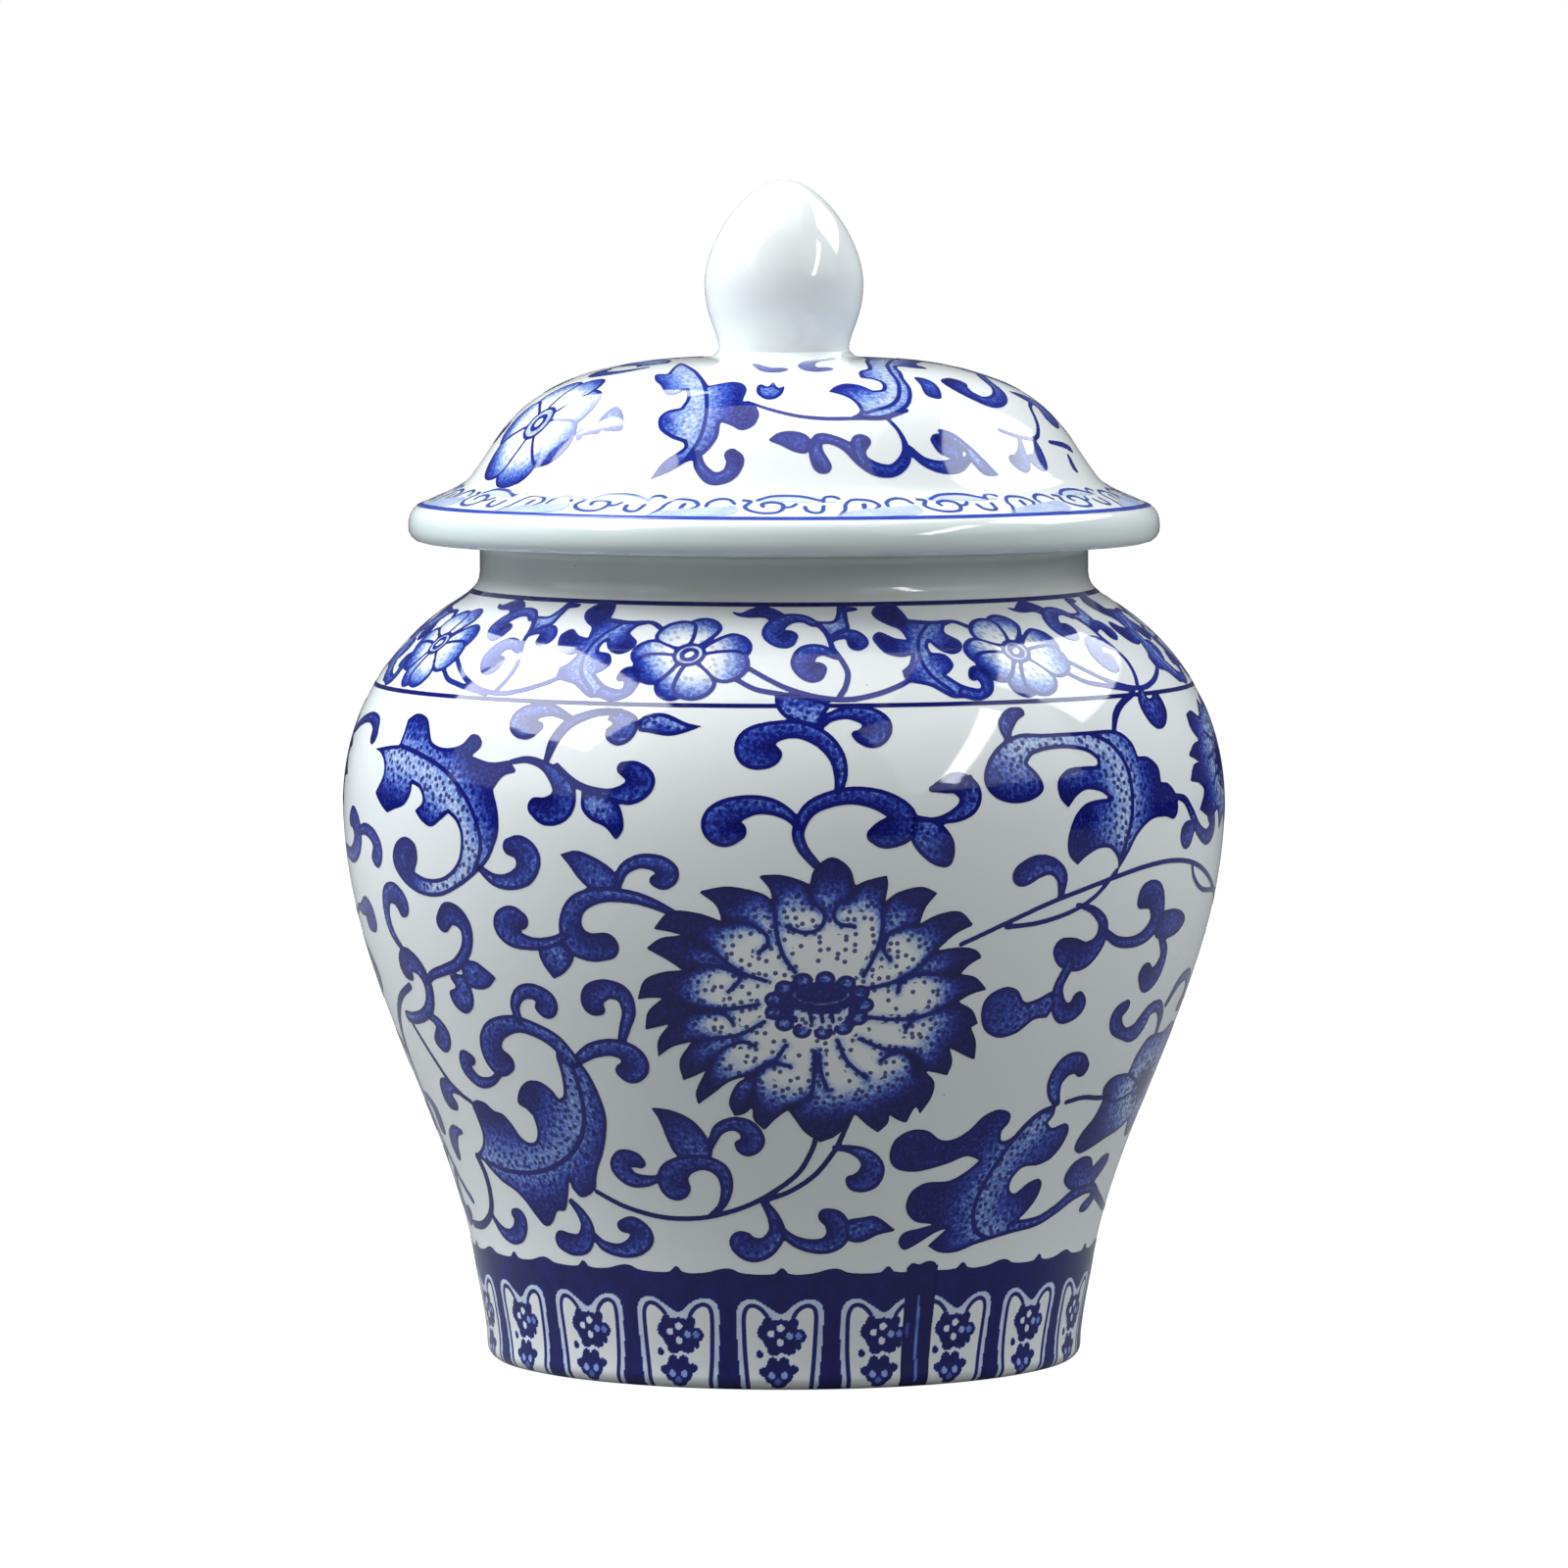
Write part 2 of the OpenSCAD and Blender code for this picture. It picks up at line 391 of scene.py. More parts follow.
lotusRim = [
    (6, 76.4), (8.2, 75), (9, 72.6, 1), (10.5, 73.3), (13, 73.9, 1), (13.2, 72.6), (12.9, 70.4, 1),
    (14.5, 71.6), (17.5, 72.3), (19.8, 71.4, 1), (18.3, 69.5), (17.6, 67.3, 1), (20, 68.5), (23, 68.8),
    (25.1, 66.9, 1), (22.6, 65.7), (20.3, 63.6, 1), (23.5, 63.9), (25.7, 63.5), (26.9, 62.4, 1), (25.2, 61.4),
    (24, 60.2, 1), (26.3, 59.6), (28.3, 57.8, 1), (26, 57.2), (24.2, 56.2, 1), (26.5, 55), (27.8, 53, 1),
    (26.8, 52.4, 1), (28, 50.3), (28.4, 47.6, 1), (26.3, 48.5), (24, 49.6, 1), (24.8, 47.5), (24.4, 45.5, 1),
    (22.5, 46), (20.6, 46.4, 1), (22.5, 44.6), (22.4, 42.3), (21, 40, 1), (20.2, 41), (19.6, 40.2),
    (19, 38.7, 1), (17.5, 39.2), (16.1, 40, 1), (16, 38.7), (14.6, 37.4, 1), (12.7, 38.6), (10.8, 40.2, 1),
    (9.8, 38.8), (8, 37), (5.6, 36.1, 1), (3.2, 37.6), (1.6, 39.6), (0.6, 40.9, 1), (-1, 39.8), (-3, 37.9, 1),
    (-4.6, 39.5), (-4.7, 41.3, 1), (-6, 40.3), (-7.5, 40, 1), (-8.2, 42), (-7, 44.6), (-5, 46, 1), (-8, 45),
    (-10.8, 43), (-12.9, 41.6, 1), (-13, 43.6), (-11.3, 46.6, 1), (-13, 45.8), (-14.8, 45.1, 1), (-15, 48),
    (-13, 50.8, 1), (-15.8, 50), (-18.1, 48.5, 1), (-17.8, 51), (-15.9, 53.3, 1), (-17.8, 52.8),
    (-19.5, 52.4, 1), (-18.8, 55), (-16.5, 57, 1), (-18.3, 57), (-20.1, 56.7, 1), (-18.8, 59.5), (-16, 60.7),
    (-13.4, 61, 1), (-15.6, 62.5), (-18.2, 63.9, 1), (-16, 65.4), (-13, 65.8, 1), (-15, 66.3), (-17, 66.6, 1),
    (-14.7, 69), (-11, 68.9), (-7.9, 67.8, 1), (-8.7, 70), (-10.9, 71.8, 1), (-7, 72.5), (-3, 71.7),
    (-1.4, 70.6, 1), (-1.9, 72.3), (-3.3, 74, 1), (-0.5, 74.1), (2, 73.4), (3.2, 72.8, 1), (3.9, 75),
]
lotusHeart = ellipse((5, 56.5), (8.5, 6))
lotusVeins = [
    [(1.5, 60.8), (0, 63), (-0.9, 66), (-1.2, 69), (-1.4, 70.6)],
    [(10.5, 60.2), (11.8, 63), (12.6, 66), (12.8, 70.4)],
    [(0.3, 67.2), (2.5, 66.3), (4.5, 66.8), (5.2, 68.5), (4.3, 69.9), (3.5, 70.4), (3.2, 72.8)],
    [(9, 67.1), (7, 67.5), (6.3, 68.8), (7, 70.3), (8.3, 70.8), (9, 72.6)],
    [(-2.3, 59.6), (-6, 61), (-10, 64.3), (-13, 65.8)],
    [(-8, 67.7), (-4.5, 67.5), (-2.3, 66), (-2.2, 64.5), (-3.2, 63.7)],
    [(-3.4, 56.3), (-8, 55.6), (-13, 56), (-16.5, 57)],
    [(-13.4, 61), (-9.5, 61.7), (-6, 60.6), (-6, 59.5), (-7.3, 58.2)],
    [(-2.8, 53.8), (-6, 52), (-10, 51.3), (-13, 50.8)],
    [(-15.9, 53.3), (-13, 54.8), (-10, 55.2), (-8, 54.8), (-7, 53.7)],
    [(0.2, 50.4), (-1.5, 48), (-5, 46)],
    [(-11.3, 46.8), (-9, 49.5), (-6, 50.9), (-4, 50.3)],
    [(4.3, 49.5), (4.3, 46), (3.8, 43), (0.6, 40.9)],
    [(-4.7, 41.6), (-4, 46.3), (-2, 47.8), (0.8, 47.4)],
    [(7.5, 51), (9, 48), (12, 45.5)],
    [(5, 49), (5.3, 46.5), (6.4, 43.8)],
    [(10.5, 51.3), (14, 49.8), (18, 49), (20.6, 46.4)],
    [(13.8, 48), (16, 49.3), (18.5, 48.5), (19.5, 46)],
    [(11.5, 54.4), (15, 54), (19, 54.3), (24.2, 56.2)],
    [(17, 52.6), (18, 54.1)],
    [(11.3, 58.5), (14, 59.1), (17, 60.5), (20.3, 63.6)],
    [(15.3, 57.8), (15.8, 59.5), (18, 60.3), (24, 60.2)],
    [(14, 62.3), (13, 64), (13.6, 66), (15.8, 66.9), (17.6, 67.3)],
]

motifs = {
    "lotus": (5, [
        leaf(lotusRim, rib=lotusHeart + lotusHeart[:1], reach=11.5, tone=(-1.6, 1.15)),
        *[vein(v, shade=0.7) for v in lotusVeins],
        *beads((4.7, 56.1), (6.2, 3.8), 13, (1.35, 1.15), (0.3, 0.8)),
        leaf(ellipse((4.9, 56.2), (5.4, 3.1)), reach=3, tone=(1, 1)),
        patch([(1.3, 55.6), (3.4, 54.9), (5, 54.8), (6.8, 54.9), (8.7, 55.6), (7.6, 53.4), (5, 52.8),
            (2.6, 53.4)], -0.1),
        leaf(ellipse((5, 57.6), (4.4, 1.9)), reach=3, tone=(0.1, 0.3)),
        leaf(ellipse((5, 57.7), (3.5, 1.2)), reach=3, tone=(1, 1)),
        *[vein([(x, 55.2), (x + 0.3, 53.8)]) for x in (3.5, 5, 6.4)],
    ]),
    "crownScroll": (2, [
        hook([(4, 75.4, 0.6), (2.3, 77.6, 0.75), (1.8, 80, 0.85), (3.6, 83, 1), (8, 84.4, 1.15),
            (12, 83.8, 1.4), (14.8, 82, 1.7), (15, 80.2, 2), (13, 79.4, 2), (11.4, 79.2, 1.1)]),
        hook([(1.8, 80.4, 0.5), (0.6, 81.9, 0.8), (-1.5, 83, 1.1), (-4, 83.2, 1.35), (-6.7, 82.3, 1.9),
            (-8, 80.8, 2.5), (-7.4, 79.9, 2.2), (-6, 79.8, 1.4)], light=-1),
        hook([(6.8, 84.9, 0.5), (7.2, 87, 0.9), (6.8, 89.5, 1.1), (5, 91.9, 1.25), (2, 93.3, 1.25),
            (-1, 93.1, 1.45), (-3.6, 91.8, 2.1), (-4, 90.4, 2.4), (-2.4, 89.9, 1.9), (-1.2, 89.9, 1)],
            light=-1),
        hook([(5, 94, 0.5), (6.3, 95.1, 0.7), (8.6, 95.7, 1), (11, 95.2, 1.4), (12.5, 93.8, 1.8),
            (11.8, 92.6, 1.9), (10.3, 92.3, 1.1), (9.3, 92.6, 0.5)]),
        leaf([(-1.3, 98.3, 1), (-1, 96.4), (0.6, 94.7), (4.6, 93.5, 1), (5.4, 95.4), (6, 97), (1.5, 98.4)],
            rib=[(1, 95.5), (4, 95)], reach=4, tone=(0.3, 0.9)),
    ]),
    "eastSprig": (20, [
        leaf([(16.3, 81.2, 1), (15.9, 79), (17, 76.9), (19.2, 75.1), (21.2, 74.9), (21.9, 76.6), (21.6, 78.6),
            (20.2, 80.4), (18.2, 81.5)], rib=[(18.2, 80.5), (17.6, 78)], reach=4, tone=(0.4, 1)),
        hook([(16.2, 81.6, 0.3), (19, 81, 0.4), (21.8, 81.5, 0.9), (23.8, 82.8, 1.4), (24, 84.6, 1.7),
            (22.4, 85.8, 1.5), (20.6, 85.5, 1), (18.9, 85.1, 0.4)], light=-1),
        hook([(23.6, 85.6, 0.9), (24.3, 86.6, 0.3)]),
    ]),
    "westHook": (-32, [
        hook([(-22.5, 95.6, 0.5), (-26, 95.3, 0.6), (-29.5, 93.8, 0.8), (-31.3, 91.4, 0.8),
            (-32, 88.6, 0.5)]),
        hook([(-29.6, 94.4, 0.5), (-33, 95.5, 0.9), (-36.3, 94.9, 1.4), (-37.5, 93.6, 1.8), (-36, 92.8, 1.6),
            (-34.2, 93.1, 0.7)], light=-1),
        leaf([(-24.2, 94.4, 1), (-23.4, 95.4), (-22, 95.9), (-20, 95), (-19.5, 93.4), (-20.3, 91.6),
            (-22, 90.8), (-23.7, 91.6), (-24, 93), (-23.2, 93.8)], reach=3, tone=(0.75, 0.35)),
        leaf([(-19.4, 94.6), (-18, 95.4), (-15.8, 95.4), (-13, 94.2), (-10.8, 93.7, 1), (-13, 92.8),
            (-15.2, 92.3), (-18, 92.7), (-19.4, 93)], rib=[(-19, 94), (-16, 94.6), (-13, 94)], reach=2,
            tone=(0.2, 0.9)),
    ]),
    "westLeaf": (-54, [
        leaf([(-68.5, 88.2, 1), (-64, 88.9), (-61, 89.2, 1), (-60.7, 91.2), (-60.9, 92.8, 1), (-58.8, 93.8),
            (-56, 93.3), (-54.4, 91.6), (-53, 90), (-50, 89.4), (-47, 90), (-45.5, 91.5), (-43.9, 91.3),
            (-43.2, 90), (-44.6, 88.6, 1), (-41, 87.9), (-37.8, 88.3, 1), (-36.4, 86.8, 1), (-38.6, 86.1),
            (-40, 84.3, 1), (-39, 81.6), (-38.8, 79), (-39.6, 76.7), (-41, 74.6), (-43, 73), (-46, 71.2),
            (-50, 69.6), (-54, 69.4), (-57.6, 70.4), (-60.2, 72.3), (-60.9, 74.2), (-59.6, 76.2),
            (-57.2, 77.1), (-55, 76.3), (-54.6, 74.4), (-55.6, 72.5, 1), (-53, 71.8), (-50, 72),
            (-47.6, 73.1), (-45.9, 75), (-45.4, 77.8), (-46.2, 79.7), (-47.8, 80.8, 1), (-49.3, 79.8),
            (-51.2, 78.8), (-53.2, 79.4), (-54.8, 80.7, 1), (-53.2, 82), (-54, 83.6), (-56, 84.3, 1),
            (-56.2, 82.8), (-57.6, 81.3), (-60, 80.6), (-62, 80, 1), (-64, 81), (-65.9, 82.4, 1), (-64, 84.8),
            (-64.4, 86.6), (-66.2, 87.8)],
            rib=[(-62, 87.8), (-55, 86.4), (-49, 83.8), (-45.6, 80), (-44, 76), (-46, 72.8), (-51, 70.9)],
            reach=6, tone=(0, 0.95)),
        vein([(-61, 89.2), (-55, 88.2), (-49, 86.3), (-44.6, 83), (-42.2, 79), (-42, 76), (-43.4, 73.2)],
            0.26),
        hook([(-57.6, 73.2, 0.8), (-58, 74.8, 1.2), (-56.4, 75.4, 1.1)], tone=(0.8, 0.9)),
    ]),
    "westScroll": (-30, [
        hook([(-37.6, 88.1, 0.35), (-35, 88.5, 0.5), (-32.5, 87.9, 0.65), (-30.4, 86.5, 1.15),
            (-29, 84.6, 1.7), (-29.4, 82.6, 2.1), (-31.3, 81.8, 1.9), (-33, 82.3, 1.3)]),
        hook([(-30.4, 88, 0.3), (-28, 86, 0.5), (-25.6, 84.9, 0.55), (-22.4, 84.3, 0.8), (-19.7, 84.6, 1.6),
            (-18.2, 86, 1.8), (-19.4, 87.3, 1.5), (-20.9, 87.8, 0.9)], light=-1),
        leaf([(-26.4, 84.7, 1), (-26.3, 82.4), (-25, 80.9), (-23, 80), (-21.5, 78.3, 1), (-20.5, 79.8),
            (-20.7, 82), (-21.8, 83.6), (-24, 84.5)], rib=[(-25.6, 83.6), (-24, 82.4)], reach=4,
            tone=(0.3, 1)),
        hook([(-42.4, 73.9, 0.5), (-40, 72.4, 0.85), (-37.5, 72.2, 1.15), (-35, 73.3, 1.6), (-34.2, 75.4, 2),
            (-35.4, 76.8, 1.7), (-37, 76.9, 1.2)], light=-1),
    ]),
    "lotusWestScroll": (-27, [
        leaf([(-29.4, 76.2, 1), (-27, 76.8), (-24.5, 76), (-22, 74.4), (-21.2, 72.6), (-22.5, 71.6),
            (-25, 71.6), (-26.8, 73), (-28.3, 75)], rib=[(-24.5, 73.2), (-23, 72.5)], reach=5, tone=(0.5, 1)),
        hook([(-21.6, 72, 0.5), (-20.6, 74.4, 0.8), (-18.5, 75.6, 0.95), (-16.1, 75.4, 1.2),
            (-14.8, 74.2, 1.6), (-15.4, 73.2, 1.3), (-16.4, 73.1, 0.8)]),
        hook([(-13.8, 68.6, 0.5), (-17, 70.1, 0.75), (-20, 70.9, 0.9), (-24, 71, 1.1), (-27.3, 69.6, 1.4),
            (-28.6, 67, 1.7), (-28, 64.7, 2.1), (-26, 63.8, 2), (-23.8, 64, 1.9)], light=-1),
        leaf([(-34, 62.9), (-33.6, 61), (-32.3, 59.1, 1), (-30.5, 60), (-28.9, 61.7), (-28.9, 63),
            (-30.5, 64.3), (-32.5, 64.2)], rib=[(-31.5, 63.6), (-31, 62.5)], reach=4, tone=(0.4, 1)),
        hook([(-29.6, 65.2, 0.6), (-32, 64.2, 0.8), (-35, 63.9, 0.95), (-38, 64.7, 1.5), (-39, 66.3, 2),
            (-37.7, 67.2, 1.8), (-36.3, 67, 1.3)]),
    ]),
    "lowWestLeaf": (-42, [
        leaf([(-62, 31.3, 1), (-58.6, 32.9), (-57, 34.8), (-56.9, 37.5), (-57, 39.2), (-55.3, 40),
            (-53, 39.8), (-51.4, 38.8), (-49.3, 38.4), (-47.8, 37), (-46.7, 35.3), (-45.2, 34.5),
            (-43.4, 34.8), (-42.3, 36.4), (-42.3, 38.6, 1), (-43.4, 39.6), (-44.8, 40.4), (-43.6, 42.4),
            (-41.4, 43.8), (-39, 43.9), (-37.2, 42.9), (-36.1, 41.5, 1), (-35, 42.2), (-34.5, 45),
            (-34.7, 48, 1), (-33, 50), (-31, 47.6), (-29.4, 45), (-28.3, 41), (-28.4, 38), (-30, 34),
            (-32, 31), (-33, 28.4, 1), (-34.6, 27.4), (-36.6, 27), (-38, 28.2, 1), (-38.2, 29.4),
            (-39.2, 27.2), (-40.6, 24.9), (-42.6, 24.6), (-44.5, 22.8), (-46.6, 22.3), (-48.6, 23.8),
            (-50.4, 25.6), (-52.4, 26.9), (-55.6, 28), (-58.2, 29.5), (-60, 30.8)],
            rib=[(-58, 31.4), (-52, 31), (-46, 31.4), (-40, 33), (-36, 36), (-33.6, 40), (-33.4, 45)],
            reach=6.5, tone=(0.22, 1)),
        vein([(-58.6, 30.7), (-53, 29.8), (-46, 30), (-40, 31.5), (-35, 34.4), (-32.3, 38.4), (-31.8, 43),
            (-32.4, 48)], 0.27),
        hook([(-32.2, 47.4, 1.3), (-34.2, 50, 1.25), (-37.5, 51.6, 1.15), (-41, 52.2, 1.3), (-45, 51, 1.7),
            (-47, 48.8, 2.1), (-46.6, 46.6, 2.4), (-44.8, 46.4, 1.6)], light=-1),
        hook([(-46.8, 44.6, 0.5), (-49.5, 43.2, 0.7), (-52.6, 43, 1), (-54.7, 44.6, 1.3), (-54.3, 46.2, 1.3),
            (-52.8, 46.2, 0.9)]),
        hook([(-39.8, 52.6, 0.6), (-40, 54.8, 0.8), (-38.5, 56.7, 1), (-36.2, 57.1, 1.2), (-34.3, 56, 1.6),
            (-34.5, 54.9, 1.6), (-35.5, 54.8, 0.9)]),
        hook([(-38.8, 26.2, 0.5), (-37.2, 24.6, 0.8), (-36.4, 22.6, 1.1), (-37.8, 20.4, 1.4),
            (-40.5, 20, 1.6), (-42.6, 20.4, 1.5)]),
        hook([(-35.3, 21.6, 0.5), (-33.4, 20.2, 0.8), (-30, 19.7, 1), (-27, 20.4, 1.4), (-25.4, 22, 1.7),
            (-26.8, 23.3, 1.4), (-28.9, 23.2, 0.9)], light=-1),
        stem([(-61.6, 31.2), (-60.8, 28.5), (-61.4, 25.5), (-63, 23.2), (-66, 21.6), (-70, 20.6),
            (-75, 20.4)], 0.45),
        hook([(-63, 22.6, 0.4), (-60.5, 20.6, 0.8), (-57.5, 20, 1.1), (-54.6, 20.8, 1.4), (-53.2, 22.8, 1.4),
            (-54.6, 23.4, 0.8)], light=-1),
        stem([(-57, 39.6), (-61, 41.4), (-65, 46), (-68.4, 50.6)], 0.28),
        hook([(-59.4, 40.6, 0.4), (-62, 41.4, 0.9), (-64.3, 41, 1.6), (-64.6, 39.6, 1.7), (-63.2, 38.8, 1)]),
        hook([(-64.6, 34.6, 0.4), (-67.6, 34.4, 1), (-70.4, 32.6, 1.5), (-70.8, 30.8, 1)]),
    ]),
    "westTendrils": (-58, [
        hook([(-69, 51.2, 0.9), (-66, 51.2, 0.9), (-62, 52.1, 0.9), (-59.3, 53.8, 1), (-58.2, 56.5, 1.1),
            (-59.4, 59, 1.4), (-62, 59.9, 1.8), (-63.6, 58.8, 1.8), (-62.8, 57.8, 1)]),
        hook([(-62.6, 61, 0.5), (-65, 63.6, 0.85), (-65.4, 66.3, 1), (-64.2, 68.7, 1.3), (-61.8, 69.1, 1.6),
            (-60, 67.8, 1.7), (-60.4, 66.8, 0.9)]),
        hook([(-58.2, 57, 0.5), (-56, 58.2, 0.7), (-52.5, 59.2, 0.8), (-49.5, 60.2, 0.9), (-47, 62.4, 0.95),
            (-46.2, 65, 1.15), (-47.3, 66.8, 1.5), (-49.3, 67.2, 1.6), (-50.8, 65.9, 1.4)]),
        leaf([(-48.6, 60.2), (-46, 60.9), (-43.8, 59.8), (-42.3, 58.7, 1), (-44.2, 57.2), (-46.6, 56.8),
            (-48.6, 57.6)], rib=[(-48, 59), (-46.5, 59)], reach=4, tone=(0.5, 1)),
        leaf([(-51.8, 58.4), (-51.2, 56.8), (-53, 56), (-52.6, 54), (-50.5, 53), (-48.4, 54.2), (-47.8, 56.4),
            (-48.6, 58.6)], rib=[(-50, 58), (-50, 56)], reach=4, tone=(0.5, 1)),
        hook([(-61.4, 52, 0.5), (-59.2, 51.4, 0.9), (-58.2, 49.7, 1.6), (-59.4, 48.4, 1.7),
            (-60.6, 48.2, 1)]),
    ]),
    "farWestHooks": (-74, [
        hook([(-83, 73.6, 0.9), (-78, 73.2, 1.1), (-74.6, 74.4, 1.5), (-73.2, 76.6, 2), (-75, 78.4, 1.7),
            (-76.8, 78, 0.9)], light=-1),
        hook([(-72.6, 76.8, 0.6), (-69.6, 77.3, 0.85), (-66.8, 76.6, 1.1), (-65.4, 75, 1.5), (-66, 73.8, 1.5),
            (-67, 73.6, 0.8)]),
        hook([(-84, 90, 0.7), (-79, 91.6, 0.7), (-74.5, 92.3, 0.8), (-71.2, 91.6, 1.1), (-70.4, 90, 1.3)]),
        hook([(-80, 66, 0.5), (-77, 65.8, 0.9), (-73.6, 66.4, 1.5), (-72.4, 65, 2), (-74.2, 64.2, 1.3)]),
        leaf([(-93, 62, 1), (-87, 61.4), (-81, 59.6), (-78.4, 57), (-80, 54.4), (-86, 52.6), (-93, 52, 1),
            (-89, 54.6), (-88, 58)], reach=4, tone=(0.4, 1)),
    ]),
    "edgeVine": (-80, [
        stem([(-64, 56), (-70, 53.6), (-75.6, 49.4), (-79, 44), (-80, 38), (-79, 32), (-76, 27.4), (-71, 24)],
            0.4),
        hook([(-78.8, 44.6, 0.5), (-82, 46.4, 0.9), (-86, 46.8, 1.3), (-88.4, 45, 1.8), (-86.6, 43.2, 1.4)],
            light=-1),
        hook([(-80, 38.6, 0.5), (-77, 38.6, 0.8), (-74.4, 36.8, 1.3), (-75, 34.6, 1.4)]),
        leaf([(-80.4, 36, 1), (-83.4, 37.6), (-87.6, 37.2), (-90.6, 34.6, 1), (-86.4, 33), (-82.6, 33.4)],
            rib=[(-83, 35.6), (-87, 35.2)], reach=3.5, tone=(0.4, 1)),
        hook([(-79, 31, 0.5), (-82.4, 30, 0.9), (-86.4, 28, 1.3), (-87, 25, 1.8), (-83.8, 23.6, 1.5)]),
        hook([(-76.4, 28.4, 0.4), (-79.4, 26.4, 0.8), (-80.6, 23.4, 1.2), (-78.6, 21.4, 1.5), (-76, 22, 1)],
            light=-1),
    ]),
    "midHooks": (-26, [
        hook([(-23.4, 50.4, 0.6), (-22.5, 52.6, 0.8), (-21.6, 55, 1), (-22.2, 57.3, 1.25), (-24.3, 58, 1.4),
            (-26.4, 57.2, 1.7), (-26.9, 55.8, 1.6), (-26, 55.1, 0.9)]),
        hook([(-31.9, 46.8, 0.6), (-30, 48.1, 0.95), (-28, 49.1, 1.15), (-25, 49.6, 1.3), (-22.5, 48.8, 1.6),
            (-21.8, 47.3, 2), (-22.7, 46.1, 1.7), (-23.9, 46.2, 1.1)]),
    ]),
    "southSprig": (-15, [
        leaf([(-20.4, 41, 1), (-17, 40.6), (-14, 39.2), (-12.1, 37), (-11.3, 34.8), (-12.2, 33.2),
            (-15, 33.3), (-17.3, 34), (-18.4, 36), (-19.3, 39)], rib=[(-15, 35), (-13.5, 34)], reach=5,
            tone=(0.5, 1)),
        hook([(-11.6, 35.2, 0.4), (-10.2, 37.8, 0.8), (-7.9, 38.8, 1), (-5.7, 38.2, 1.35), (-4.8, 36.5, 1.6),
            (-5.8, 35.4, 1.4), (-6.8, 35.7, 0.8)]),
        hook([(-12.4, 25.4, 0.3), (-10.4, 26.8, 0.55), (-9.4, 29.5, 0.85), (-10.2, 31.9, 1.1), (-13, 33, 1.1),
            (-16.3, 32.4, 1.5), (-18.3, 30.9, 2.1), (-18.2, 29.4, 2.1), (-17.1, 29.2, 1.3)], light=-1),
        hook([(-20.3, 30.6, 0.4), (-23, 30, 0.85), (-25.8, 30.2, 1.2), (-27.4, 31.8, 1.5), (-26.6, 33.1, 1.4),
            (-24.8, 33.1, 1.2), (-23.7, 32.6, 0.8)]),
        stem([(-33, 28), (-28, 26.1), (-22, 24.9), (-17, 24.7), (-12, 25.2), (-6, 26.8), (-1, 29.2),
            (2.5, 31.8), (4.4, 35), (5, 37)], 0.26),
        stem([(-3, 27.6), (1, 28.9), (5, 31.3), (8, 34.9), (9.4, 38), (10.3, 40.5)], 0.26),
        hook([(8, 35.3, 0.4), (10.5, 35, 0.65), (13, 34, 1.15), (14.4, 32.3, 1.6), (13.7, 30.6, 1.7),
            (11.9, 30, 1.3), (11, 30.4, 0.8)]),
        hook([(-3.4, 27.4, 0.5), (-1.8, 25.2, 0.85), (-1.2, 22.9, 1.15), (-3, 20.9, 1.4), (-5.5, 20.5, 1.8),
            (-7.3, 21.4, 1.7), (-6.6, 22, 1)]),
        hook([(-1.4, 24.6, 0.3), (0.8, 22.3, 0.7), (4, 21.1, 0.95), (7.5, 21.1, 1.2), (9.4, 22.6, 1.6),
            (8.8, 24.5, 1.6), (7.3, 25.2, 1.2)], light=-1),
        leaf([(10.6, 24.4), (13.5, 25), (16, 25), (19.7, 22.9, 1), (16.5, 22.4), (13.5, 21.4), (11, 21.9)],
            rib=[(11.5, 23.2), (15, 23.6)], reach=2.5, tone=(0.5, 1)),
    ]),
    "lowEastLeaf": (36, [
        leaf([(17, 33.6), (17.5, 36.2), (20, 37.6), (22.8, 37.4), (25.2, 36), (27.6, 36), (30, 37.2),
            (32, 39.1), (34.5, 40), (36.9, 39.4), (37.3, 38), (36.3, 36.7), (36.7, 35.3), (38.6, 35.6),
            (40.6, 37.6), (43, 39.3), (46.2, 40.2, 1), (46.6, 38.6), (45.7, 37.3, 1), (47.2, 36.5), (50, 37),
            (51.6, 36), (51.3, 34), (49.5, 32), (46.5, 31.1), (43, 31), (41.2, 29.6), (41, 28), (42.6, 27.2),
            (45, 28.5), (47.5, 29), (48.8, 28), (48.3, 26), (46.5, 24.2), (44.8, 23.2, 1), (44, 21.4, 1),
            (40, 20.9), (36, 20.3), (32, 19.4), (28.5, 19.5), (26, 20.5, 1), (29.4, 22.9, 1), (27, 22.3),
            (24, 20.9), (21.5, 20.1), (20.3, 21.3), (21.2, 22.6), (24, 23.1), (26.8, 23.6, 1), (23, 24.1),
            (21, 26), (21.5, 28.4), (24, 29.7), (28, 29.8), (31, 31), (33.2, 32.6, 1), (30.5, 33.3),
            (27, 32.3), (22, 31.4), (18.5, 31.9)],
            rib=[(44, 37.5), (40.4, 34.5), (37.4, 30), (35.8, 26), (36.6, 22.6), (40, 21.8)], reach=6.5,
            tone=(0.22, 1)),
        vein([(46, 39.8), (42, 38.1), (38.5, 34.4), (35.5, 29.6), (34.2, 25.6), (35.3, 22.4), (38.4, 20.9)],
            0.27),
        hook([(46.6, 40.2, 0.5), (45.2, 41.6, 1.1), (44.6, 43.7, 1.5), (46, 45.7, 1.8), (48.4, 46, 1.6),
            (49.8, 45.2, 1.4)]),
        stem([(48.6, 40.2), (52.5, 40.6), (57, 40.2), (61, 40.1)], 0.28),
        hook([(43.6, 22.3, 0.9), (50, 22.7, 0.75), (55, 24.1, 0.8), (60, 25.9, 1), (66, 26.4, 0.9),
            (72, 24.5, 0.7), (80, 22.4, 0.6), (86, 22, 0.4)], light=-1),
